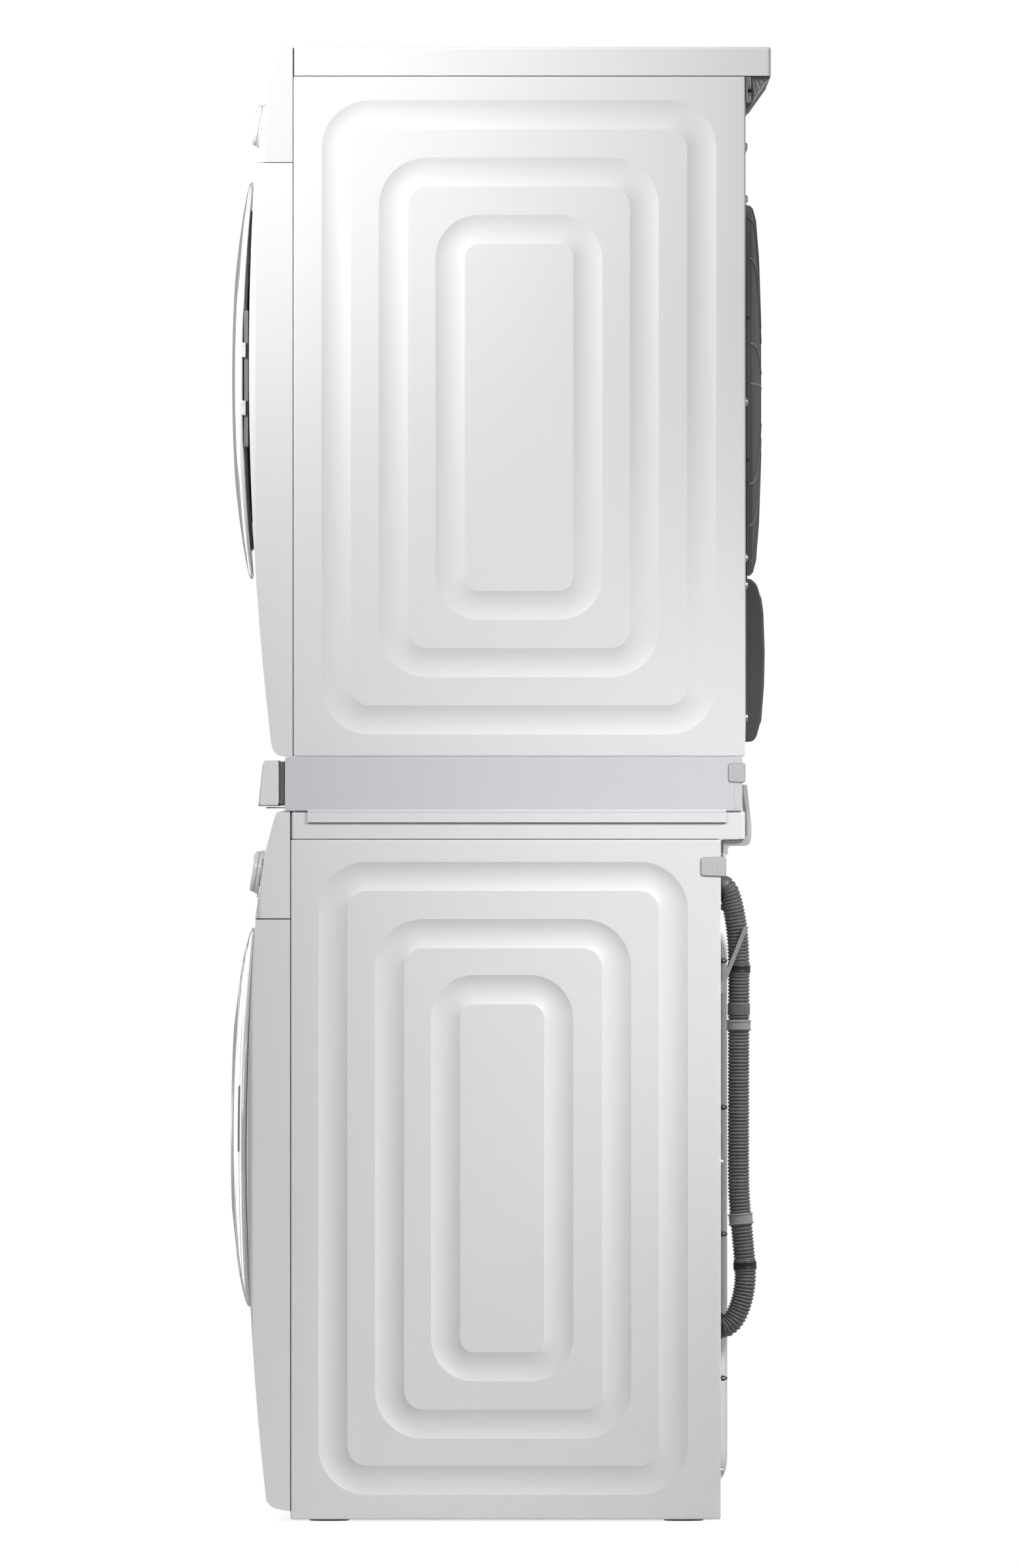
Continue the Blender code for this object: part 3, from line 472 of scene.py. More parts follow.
def round_rect(x0, z0, x1, z1, r, n=8):
    pts = []
    for cx, cz, a0 in ((x1 - r, z1 - r, 0), (x0 + r, z1 - r, 90), (x0 + r, z0 + r, 180), (x1 - r, z0 + r, 270)):
        for i in range(n + 1):
            a = math.radians(a0 + 90 * i / n)
            pts.append((cx + r * math.cos(a), cz + r * math.sin(a)))
    return pts


def circle(cx, cz, r, n=96):
    return [(cx + r * math.cos(math.tau * i / n), cz + r * math.sin(math.tau * i / n)) for i in range(n)]


# ---------------------------------------------------------------- pressed side panels
def pressed_side(name, side, node, mat, rings, depth, ring_w=35.0, chamfer=0.0):
    """A folded sheet with three nested, softly dished grooves and hemmed edges."""
    lo, hi = mmbox(node)
    y0, z0, y1, z1 = lo[1], lo[2], hi[1], hi[2]
    face_x = hi[0] if side > 0 else lo[0]
    n = 10
    bm = bmesh.new()

    def loop(ya, za, yb, zb, r, d):
        return [bm.verts.new(V(face_x - side * d, y, z)) for y, z in round_rect(ya, za, yb, zb, r, n)]

    loops, sharp = [], []
    for inset, d in ((0.0, 9.0), (0.0, 1.6), (0.15, 0.85), (0.55, 0.3), (1.2, 0.05), (2.0, 0.0)):
        loops.append(loop(y0 + inset, z0 + inset, y1 - inset, z1 - inset, 2.6 if inset < 2 else 1.2, d))
    steps = 12
    for i, (ya, za, yb, zb) in enumerate(rings):
        ro = 58.0 if i < 2 else 52.0
        for k in range(steps + 1):
            t = k / steps
            w = ring_w * t
            d = depth * (1 - (2 * t - 1) ** 2)
            loops.append(loop(ya + w, za + w, yb - w, zb - w, ro - w, d))
            if k in (0, steps):
                sharp.append(loops[-1])
    for a, b in zip(loops, loops[1:]):
        for i in range(len(a)):
            j = (i + 1) % len(a)
            bm.faces.new([a[i], a[j], b[j], b[i]])
    bm.faces.new(loops[-1])
    for e in bm.edges:
        e.smooth = True
    for ring in sharp:
        for i in range(len(ring)):
            e = bm.edges.get((ring[i], ring[(i + 1) % len(ring)]))
            if e:
                e.smooth = False
    bm.normal_update()
    if bm.faces[-1:] and loops:
        bm.faces.ensure_lookup_table()
        if bm.faces[-1].normal.x * side < 0:
            bmesh.ops.reverse_faces(bm, faces=bm.faces)
    for f in bm.faces:
        f.smooth = True
    mesh = bpy.data.meshes.new(name)
    bm.to_mesh(mesh)
    bm.free()
    obj = new_object(name, mesh)
    so = obj.modifiers.new("sheet", "SOLIDIFY")
    so.thickness = 0.8 * MM
    so.offset = -1.0
    obj = applied(obj, None)
    return finish_piece(obj, mat, "cabinet", (node,))


DRYER_RINGS = [(-214.1, 943.2, 259.1, 1704.0), (-145.4, 1011.9, 190.4, 1635.2), (-77.4, 1080.7, 122.5, 1566.5)]
WASHER_RINGS = [(-218.0, 31.5, 225.2, 790.7), (-150.1, 98.7, 157.2, 722.0), (-83.0, 167.4, 87.7, 654.9)]
for tag, side in (("right", 1), ("left", -1)):
    pressed_side("dryer_side_" + tag, side, "dryer_side_panel_" + tag, M["enamel"], DRYER_RINGS, 2.7)
    pressed_side("washer_side_" + tag, side, "washer_side_panel_" + tag, M["enamel_low"], WASHER_RINGS, 3.4)


# ---------------------------------------------------------------- curved fronts
HALF = 297.0
DRYER_Z, WASHER_Z = 1370.5, 481.8
S, SW = -248.4, -251.5


def dryer_front_y(z):
    return -301.2 + 1.3e-4 * (z - 1385.0) ** 2


def washer_front_y(z):
    return -303.9 + 1.35e-4 * (z - 440.0) ** 2


def steps(a, b, n):
    return [a + (b - a) * i / n for i in range(n + 1)]


def plan(name, seam, front, z0, z1, r=9.0, half=HALF):
    pts = [(half, seam + 0.001), (-half, seam + 0.001)]
    for cx, a0 in ((-half + r, 180), (half - r, 270)):
        for i in range(13):
            a = math.radians(a0 + 90 * i / 12)
            pts.append((cx + r * math.cos(a), front + r + r * math.sin(a)))
    return prism(name, pts, "Z", z0 - 5, z1 + 5)


def shell(name, seam, outer, inner, zs, holes, bevel_w=1.3):
    obj = prism(name, outer, "X", -HALF - 3, HALF + 3)
    obj = cut(obj, plan("t1", seam, min(p[0] for p in outer) - 0.05, *zs), "INTERSECT")
    for h in holes:
        obj = cut(obj, h)
    obj = cut(obj, prism("t2", inner, "X", -(HALF - 4), HALF - 4))
    return bevelled(obj, bevel_w, 3, 28, 40)


ZS = steps(932.0, 1629.2, 40)
front = shell("dryer_front_shell", S,
              rounded([(S, 1629.2), (S, 917.6)], 0.1, 1, False)
              + [(-262.0, 917.6), (-265.5, 918.2), (-268.6, 920.0), (-271.5, 923.5), (-273.2, 927.5)]
              + [(dryer_front_y(z), z) for z in ZS],
              [(S + 9, 1626.0), (S + 9, 921.5), (-262.0, 921.5)] + [(dryer_front_y(z) + 3.2, z) for z in steps(938.0, 1626.0, 30)],
              (917, 1629),
              [prism("h1", circle(0, DRYER_Z, 172.0, 96), "Y", -330, -270),
               prism("h2", round_rect(-262, 956, -42, 1092, 1.0), "Y", -330, -255)])
finish_piece(front, M["enamel"], "cabinet", ("dryer_front_panel",))
ZS = steps(24.0, 721.4, 40)
front = shell("washer_front_shell", SW,
              [(SW, 721.4), (SW, 11.5), (-262.0, 13.2), (-270.0, 15.0), (-275.5, 18.0)] + [(washer_front_y(z), z) for z in ZS],
              [(SW + 9, 717.0), (SW + 9, 17.0), (-268.0, 20.0)] + [(washer_front_y(z) + 3.2, z) for z in steps(30.0, 717.0, 30)],
              (11, 722),
              [prism("h1", circle(0, WASHER_Z, 168.0, 96), "Y", -330, -270),
               prism("h2", round_rect(138, 40, 262, 150, 1.0), "Y", -330, -255)])
finish_piece(front, M["enamel_low"], "cabinet", ("washer_front_panel",))


def flap(name, node, curve_y, x0, x1, z0, z1, body, mat):
    zs = steps(z0 + 1.2, z1 - 0.5, 12)
    obj = prism(name, [(curve_y(z), z) for z in zs] + [(curve_y(z) + 2.8, z) for z in reversed(zs)], "X", x0 + 0.5, x1 - 0.5)
    mask = prism("m", round_rect(x0 + 0.5, z0 + 1.2, x1 - 0.5, z1 - 0.5, 0.8), "Y", -330, -240)
    obj = cut(obj, mask, "INTERSECT")
    # finger scoop along the top edge
    scoop = prism("s", [((x0 + x1) / 2 + 26 * math.cos(math.radians(a)), z1 + 6 + 15 * math.sin(math.radians(a))) for a in range(180, 361, 12)],
                  "Y", -330, curve_y(z1) + 1.4)
    obj = cut(obj, scoop)
    obj = bevelled(obj, 0.7, 2, 28, 40)
    return finish_piece(obj, mat, body, (node,))


flap("dryer_flap_cover", "dryer_exchanger_flap", dryer_front_y, -262, -42, 956, 1092, "dryer_flap", M["plastic"])
flap("washer_flap_cover", "washer_filter_flap", washer_front_y, 138, 262, 40, 150, "washer_flap", M["plastic"])

# ---------------------------------------------------------------- control panels
DRYER_SLOPE = [(-290.7, 1629.7), (-290.2, 1640.0), (-289.1, 1651.0), (-284.7, 1677.5), (-279.7, 1704.0), (-275.9, 1721.4),
               (-271.2, 1741.5), (-267.2, 1757.0), (-264.5, 1764.0), (-260.5, 1767.2), (-256.0, 1768.0)]
WASHER_SLOPE = [(-293.9, 722.8), (-290.9, 741.0), (-287.4, 764.0), (-284.4, 783.0), (-281.2, 802.6), (-278.6, 813.5),
                (-275.0, 828.0), (-271.0, 842.1), (-268.8, 848.0), (-266.2, 850.8), (-262.5, 851.6)]


def slope_y(slope, z):
    for (ya, za), (yb, zb) in zip(slope, slope[1:]):
        if za <= z <= zb:
            return ya + (yb - ya) * (z - za) / (zb - za)
    return slope[-1][0]


def normal_turn(y, z, n, x=0.0):
    out = Vector((0, n[0], n[1])).normalized()
    side = Vector((1, 0, 0))
    return Matrix.Translation(V(x, y, z)) @ Matrix((side, out.cross(side), out)).transposed().to_4x4()


DRYER_FACE = (-284.4, 1677.5, (-0.98464, 0.17463))
WASHER_FACE = (-287.3, 777.1, (-0.98749, 0.15770))


def control(name, node, seam, slope, z_top, drawer, face, mat):
    z0 = slope[0][1]
    outer = [(seam, z_top), (seam, z0)] + slope
    inner = [(seam + 9, z_top - 3.4), (seam + 9, z0 + 3.4)] + [(y + 3.2, z) for y, z in slope if z0 + 3.4 < z < z_top - 6]
    y, z, n = face
    bore = turned("b", [(0, 20), (9.6, 20), (9.6, -20), (0, -20)], None, 48, normal_turn(y, z, n, 222.0), closed=False)
    recess = turned("b2", [(0, 30), (31.5, 30), (31.5, -0.5), (0, -0.5)], None, 96, normal_turn(y, z, n), closed=False)
    obj = shell(name, seam, outer, inner, (z0 - 1, z_top + 1),
                [prism("d", round_rect(*drawer, 5), "Y", -330, -200), bore, recess], 0.9)
    return finish_piece(obj, mat, "cabinet", (node,))


control("dryer_fascia", "dryer_control_panel", S, DRYER_SLOPE, 1768.0, (-286, 1640, -96, 1742), DRYER_FACE, M["fascia"])
control("washer_fascia", "washer_control_panel", SW, WASHER_SLOPE, 851.6, (-286, 737, -96, 838), WASHER_FACE, M["plastic"])


def dial(name, node, face, body):
    y, z, n = face
    turn = normal_turn(y, z, n)
    base = turned(name + "_base", rounded([(0, 6.4), (24.6, 6.4), (26.3, 4.6), (26.8, 0.4), (0, 0.4)], 0.8, 3, False), None, 160, turn, closed=False)
    cap = turned(name + "_cap", rounded([(0, 12.0), (18.5, 12.0), (20.5, 12.4), (23.2, 11.6), (24.6, 9.0), (24.9, 6.6), (0, 6.6)], 0.9, 3, False), None, 160, turn, closed=False)
    finish_piece(cap, M["knob"], body, (node,))
    finish_piece(base, M["plastic"], body, (node,))
    ring = turned(name + "_ring", rounded([(24.75, 7.3), (25.3, 7.0), (25.3, 6.5), (24.5, 6.45)], 0.15, 2), None, 160, turn)
    finish_piece(ring, M["kit"], body, ())
    # pointer: a slim inlaid bar near the rim
    bar = box(name + "_pointer", (-0.9, 12.5, 12.0), (0.9, 21.0, 12.75))
    bar.data.transform(turn)
    finish_piece(bevelled(bar, 0.25, 2), M["mark"], body, ())
    # programme ticks round the dial
    ticks = []
    for i in range(16):
        a = math.radians(20 + i * 320 / 15)
        t = box("tick", (-0.55, 33.5, 0.02), (0.55, 36.5 if i % 5 else 38.5, 0.16))
        t.data.transform(turn @ Matrix.Rotation(a + math.pi, 4, "Z"))
        ticks.append(t)
    finish_piece(joined(name + "_ticks", ticks), M["mark"], "cabinet", ())


dial("dryer_dial", "dryer_dial_knob", DRYER_FACE, "dryer_dial")
dial("washer_dial", "washer_dial_knob", WASHER_FACE, "washer_dial")


def push(name, node, face, body):
    y, z, n = face
    turn = normal_turn(y, z, n, 222.0)
    obj = turned(name, rounded([(0, 1.7), (5.5, 1.9), (7.8, 2.2), (9.0, 1.0), (9.0, -6.0), (0, -6.0)], 0.5, 3, False), None, 96, turn, closed=False)
    finish_piece(obj, M["kit_grey"], body, (node,))
    mark = turned(name + "_mark", rounded([(2.9, 2.02), (3.7, 2.06), (3.7, 1.7), (2.9, 1.7)], 0.05, 1), None, 64, turn)
    finish_piece(mark, M["mark"], body, ())


push("dryer_start", "dryer_start_button", DRYER_FACE, "dryer_start")
push("washer_start", "washer_start_button", WASHER_FACE, "washer_start")


def display(name, face, slope):
    """A dark window with a bar of indicator lamps, laid into the fascia."""
    y, z, n = face
    turn = normal_turn(y, z, n)
    pane = prism(name, round_rect(58, -17, 178, 17, 4), "Z", -0.3, 0.7)
    pane.data.transform(turn)
    finish_piece(bevelled(pane, 0.3, 2), M["lens"], "cabinet", ())
    lamps = []
    for i in range(4):
        lamps.append(prism("lamp", round_rect(70 + i * 26, -11.2, 84 + i * 26, -9.4, 0.8, 3), "Z", 0.66, 0.8))
        lamps[-1].data.transform(turn)
    finish_piece(joined(name + "_lamps", lamps), M["kit_grey"], "cabinet", ())
    keys = []
    for i in range(4):
        k = prism("key", round_rect(66 + i * 28, -30, 84 + i * 28, -24.5, 2.6, 5), "Z", -0.2, 0.9)
        k.data.transform(turn)
        keys.append(k)
    finish_piece(joined(name + "_keys", keys), M["kit_grey"], "cabinet", ())


display("dryer_display", DRYER_FACE, DRYER_SLOPE)
display("washer_display", WASHER_FACE, WASHER_SLOPE)


# ---------------------------------------------------------------- drawers
def drawer_face(name, slope, x0, x1, z0, z1, body, node):
    zs = steps(z0, z1, 12)
    obj = prism(name, [(slope_y(slope, z), z) for z in zs] + [(slope_y(slope, z) + 3.6, z) for z in reversed(zs)], "X", x0, x1)
    obj = cut(obj, prism("m", round_rect(x0, z0, x1, z1, 4.5), "Y", -330, -230), "INTERSECT")
    grip = prism("g", round_rect(x0 + 55, z0 - 12, x1 - 55, z0 + 11, 8), "Y", -330, slope_y(slope, z0 + 10) + 1.8)
    obj = bevelled(cut(obj, grip), 0.7, 2, 28, 40)
    return finish_piece(obj, M["plastic"], body, (node,))


drawer_face("washer_drawer_front", WASHER_SLOPE, -285.4, -96.6, 737.6, 837.4, "washer_drawer", "washer_detergent_drawer")
tray = box("washer_drawer_tray", (-282, -283.5, 746), (-100, -8, 811))
tray = cut(tray, prism("w", [(-330, 700), (-287.0, 700), (-287.0, 735), (-274.2, 813), (-274.2, 830), (-330, 830)], "X", -290, -90))
for xa, xb, ya, yb in ((-279, -193, -270, -11), (-190, -103, -270, -150), (-190, -103, -147, -11)):
    pocket = prism("p", round_rect(xa, ya, xb, yb, 9), "Z", 749, 825)
    tray = cut(tray, pocket)
finish_piece(bevelled(tray, 0.6, 2), M["kit_grey"], "washer_drawer", ("washer_detergent_drawer",))

drawer_face("dryer_tank_front", DRYER_SLOPE, -285.4, -96.6, 1640.6, 1741.4, "dryer_tank", "dryer_water_tank")
tank = box("dryer_tank_body", (-282, -281, 1643), (-100, 60, 1727))
tank = cut(tank, prism("w", [(-330, 1600), (-285.5, 1600), (-285.5, 1651), (-272.5, 1722), (-271, 1740), (-330, 1740)], "X", -290, -90))
for i in range(6):
    tank = cut(tank, prism("rib", round_rect(-264, -225 + i * 45, -118, -221 + i * 45, 1.9, 4), "Z", 1725.6, 1740))
tank = cut(tank, prism("pour", circle(-191, 25, 18, 48), "Z", 1690, 1740))
finish_piece(bevelled(tank, 2.2, 3), M["kit_grey"], "dryer_tank", ("dryer_water_tank",))


# ---------------------------------------------------------------- covers
def worktop(name, node, mat, r):
    """A cover plate: crisp lower edge, softly rounded upper edge and corners."""
    lo, hi = mmbox(node)
    levels = [(lo[2], 0.5), (lo[2] + 0.15, 0.15), (lo[2] + 0.5, 0.0), (hi[2] - 3.6, 0.0)]
    for i in range(1, 9):
        t = math.radians(90 * i / 8)
        levels.append((hi[2] - 3.6 + 3.6 * math.sin(t), 3.6 * (1 - math.cos(t))))
    bm = bmesh.new()
    rings = []
    for z, d in levels:
        rings.append([bm.verts.new(V(x, y, z)) for x, y in round_rect(lo[0] + d, lo[1] + d, hi[0] - d, hi[1] - d, max(r - d * 0.6, 1.5), 10)])
    for p, q in zip(rings, rings[1:]):
        for i in range(len(p)):
            j = (i + 1) % len(p)
            bm.faces.new((p[i], p[j], q[j], q[i]))
    bm.faces.new(rings[0])
    bm.faces.new(rings[-1])
    bmesh.ops.recalc_face_normals(bm, faces=bm.faces)
    mesh = bpy.data.meshes.new(name)
    bm.to_mesh(mesh)
    bm.free()
    plate = new_object(name, mesh)
    if mesh_volume(mesh) < 0:
        mesh.flip_normals()
    smooth(plate, 35)
    plate.modifiers.new("normals", "WEIGHTED_NORMAL").keep_sharp = True
    bpy.context.view_layer.update()
    plate.data = bpy.data.meshes.new_from_object(plate.evaluated_get(bpy.context.evaluated_depsgraph_get()))
    plate.modifiers.clear()
    return finish_piece(plate, mat, "cabinet", (node,))


worktop("dryer_worktop", "dryer_top_cover", M["worktop"], 4.5)
worktop("washer_worktop", "washer_top_cover", M["worktop"], 4.5)

# ---------------------------------------------------------------- doors
DRYER_CROWN = (DRYER_Z, 2.1e-4)
WASHER_CROWN = (440.0, 1.35e-4)
ring = turned("dryer_door_ring",
              rounded([(160, -305.5), (203, -305.5), (206, -309.0), (236.0, -308.9), (239.4, -310.0), (239.4, -312.2), (236.6, -314.2),
                       (226, -315.9), (200, -318.3), (170, -320.3), (140, -321.9), (124, -322.6), (118.5, -321.6), (116.2, -318.6),
                       (116.2, -313.4), (160, -312.6)], 1.6, 4), (0, DRYER_Z), 192, crown=DRYER_CROWN)
finish_piece(ring, M["gloss"], "dryer_door", ("dryer_door_frame",))
lens = turned("dryer_door_window",
              rounded([(0, -317.4), (50, -317.5), (90, -318.4), (112, -320.2), (115.8, -319.6), (115.8, -313.6), (60, -313.5), (0, -313.5)], 1.0, 3, False),
              (0, DRYER_Z), 160, crown=DRYER_CROWN, closed=False)
finish_piece(lens, M["lens"], "dryer_door", ("dryer_door_lens",))
liner = turned("dryer_door_back",
               rounded([(0, -276.4), (84, -276.4), (88, -277.6), (92, -276.4), (112, -276.4), (138, -283.0), (151, -300.0), (158, -303.6),
                        (159.4, -305.0), (159.4, -311.6), (100, -312.2), (0, -312.2)], 2.2, 4, False), (0, DRYER_Z), 160, crown=DRYER_CROWN, closed=False)
finish_piece(liner, M["kit_grey"], "dryer_door", ("dryer_door_liner",))
# hinge: grey carrier plate behind the rim; two chrome arms coloured near-white as a painted chrome highlight, with
# black roots as painted shade in the gap behind them
carrier = prism("dryer_hinge_carrier", round_rect(222.0, DRYER_Z - 82, 237.2, DRYER_Z + 82, 2.5, 5), "Y", -308.3, -303.4)
for v in carrier.data.vertices:
    v.co.y += 1.5e-4 * (v.co.z / MM - DRYER_Z) ** 2 * MM
carrier = bevelled(carrier, 0.5, 2)
finish_piece(carrier, M["midgrey"], "dryer_door", ("dryer_door_hinge",))
arms, shade_roots = [], []
for zc in (1405.0, 1335.4):
    arm = prism("arm", rounded([(-311.2, zc - 8.6), (-305.6, zc - 8.9), (-305.6, zc + 8.9), (-311.2, zc + 8.6)], 1.2, 4), "X", 233.0, 241.2)
    arms.append(bevelled(arm, 0.5, 3))
    for dz in (-6.2, 6.2):
        arms.append(turned("pin", rounded([(0, 242.2), (1.5, 242.2), (1.9, 241.6), (1.9, 240.5), (0, 240.5)], 0.2, 2, False), None, 32,
                           Matrix.Translation(V(0, -308.4, zc + dz)) @ Matrix(((0, 0, 1), (0, 1, 0), (-1, 0, 0))).to_4x4(), closed=False))
    shade_root = prism("shade_root", rounded([(-305.5, zc - 8.4), (-301.9, zc - 8.4), (-301.9, zc + 8.4), (-305.5, zc + 8.4)], 0.6, 2), "X", 229.0, 240.6)
    shade_roots.append(bevelled(shade_root, 0.4, 2))
finish_piece(joined("dryer_hinge_arms", arms), M["arm"], "dryer_door", ())
finish_piece(joined("dryer_hinge_roots_painted_shade", shade_roots), M["black"], "dryer_door", ())

ring = turned("washer_door_ring",
              rounded([(150, -305.2), (226, -304.9), (228.9, -306.3), (228.7, -308.6), (223, -311.2), (214, -313.4), (212, -313.0), (210, -314.2),
                       (197, -316.5), (195, -316.1), (193, -317.0), (176, -318.9), (174, -318.5), (172, -319.4), (150, -321.0), (126, -322.8),
                       (110, -324.2), (103, -324.3), (99, -322.4), (98, -318.5), (98, -313.5), (138, -310.0)], 1.0, 3), (0, WASHER_Z), 192, crown=WASHER_CROWN)
finish_piece(ring, M["gloss"], "washer_door", ("washer_door_frame",))
pane = turned("washer_door_window",
              rounded([(0, -318.6), (50, -318.8), (92, -320.6), (97.6, -320.0), (97.6, -315.6), (50, -314.6), (0, -314.4)], 0.8, 3, False),
              (0, WASHER_Z), 128, crown=WASHER_CROWN, closed=False)
finish_piece(pane, M["lens"], "washer_door", ("washer_door_glass",))
bowl = turned("washer_door_bowl",
              rounded([(0, -262.2), (92, -262.2), (120, -268.5), (134, -281.0), (143, -296.0), (149.2, -304.9), (144.6, -305.2), (139.4, -297.0),
                       (130.6, -283.0), (118, -272.2), (91, -266.2), (0, -266.2)], 3.0, 4, False), (0, WASHER_Z), 128, crown=WASHER_CROWN, closed=False)
finish_piece(bowl, M["glass"], "washer_door", ("washer_door_glass",))

def grip(name, zc, crown, mid, r0, r1, y0, y1, body):
    """Moulded finger grip: a short arc laid into the rim."""
    n = 16
    pts = [(r0 * math.cos(math.radians(mid - 11 + 22 * i / n)), zc + r0 * math.sin(math.radians(mid - 11 + 22 * i / n))) for i in range(n + 1)]
    pts += [(r1 * math.cos(math.radians(mid + 11 - 22 * i / n)), zc + r1 * math.sin(math.radians(mid + 11 - 22 * i / n))) for i in range(n + 1)]
    bar = prism(name, rounded(pts, 3.0, 4), "Y", y0, y1)
    for v in bar.data.vertices:
        v.co.y += crown[1] * (v.co.z / MM - crown[0]) ** 2 * MM
    return finish_piece(bevelled(bar, 0.5, 3), M["grey"], body, ())


grip("dryer_door_grip", DRYER_Z, DRYER_CROWN, 180, 217.0, 231.0, -317.0, -312.5, "dryer_door")
grip("washer_door_grip", WASHER_Z, WASHER_CROWN, 0, 203.0, 211.0, -315.4, -311.5, "washer_door")

# ---------------------------------------------------------------- door surrounds
ring = turned("dryer_mouth",
              rounded([(236, -240.4), (236, -243.2), (184, -246.0), (171.2, -257.0), (171.2, -296.0), (171.6, -299.4), (169.0, -300.0),
                       (166.8, -298.0), (166.5, -254.0), (176, -240.4)], 2.5, 4), (0, DRYER_Z), 144)
slot_cut = box("s", (-70, -272, 1160), (70, -256.5, 1230))
ring = cut(ring, slot_cut)
finish_piece(smooth(ring, 40), M["kit_grey"], "cabinet", ("dryer_loading_ring",))
gasket = turned("washer_bellows",
                rounded([(158.0, -216.4), (158.0, -232.0), (153.6, -238.0), (158.6, -246.0), (154.0, -254.0), (158.0, -262.0), (161.0, -272.0),
                         (167.3, -284.0), (167.3, -297.8), (159.0, -297.2), (158.0, -284.0), (150.6, -264.0), (150.4, -256.0),
                         (154.5, -247.0), (150.4, -239.0), (151.0, -230.0), (151.0, -216.4)], 2.4, 4), (0, WASHER_Z), 144)
finish_piece(gasket, M["rubber"], "cabinet", ("washer_door_gasket",))

# ---------------------------------------------------------------- drums
def drum(name, node, zc, profile, body, r_in, r_out, y0, y1, nodes):
    obj = turned(name, rounded(profile, 4.0, 3, False), (0, zc), 144, closed=False)
    finish_piece(obj, M["drum"], body, nodes)
    for i in range(3):
        a = math.radians(90 + 120 * i)

        def at(r, w):
            return (r * math.cos(a) - w * math.sin(a), zc + r * math.sin(a) + w * math.cos(a))
        pts = rounded([at(r_out, 32), at(r_in + 14, 18), at(r_in, 9), at(r_in, -9), at(r_in + 14, -18), at(r_out, -32)], 7, 5)
        rib = bevelled(prism(f"{name}_lifter_{i}", pts, "Y", y0, y1), 5.0, 4, 50)
        finish_piece(rib, M["kit_grey"], body, ())


drum("dryer_drum_shell", "dryer_drum", DRYER_Z,
     [(0, 284), (13, 284), (13, 266), (150, 262), (238, 266), (256, 252), (256, -222), (240, -231), (206, -235), (206, -233.5), (239.4, -229.6),
      (254.5, -221), (254.5, 251.3), (237.4, 264.5), (150, 260.5), (0, 264.5)], "dryer_drum_body", 212, 253.5, -205, 240, ("dryer_drum",))
drum("washer_drum_shell", "washer_drum", WASHER_Z,
     [(0, 216), (14, 216), (14, 152), (120, 146), (222, 152), (236, 142), (236, -192), (222, -200), (166, -207), (156, -207), (156, -205.5),
      (166, -205.5), (221.4, -198.6), (234.5, -191.2), (234.5, 141.3), (221.4, 150.5), (120, 144.5), (0, 150.5)], "washer_drum_body", 186, 233.5, -170, 130, ("washer_drum",))

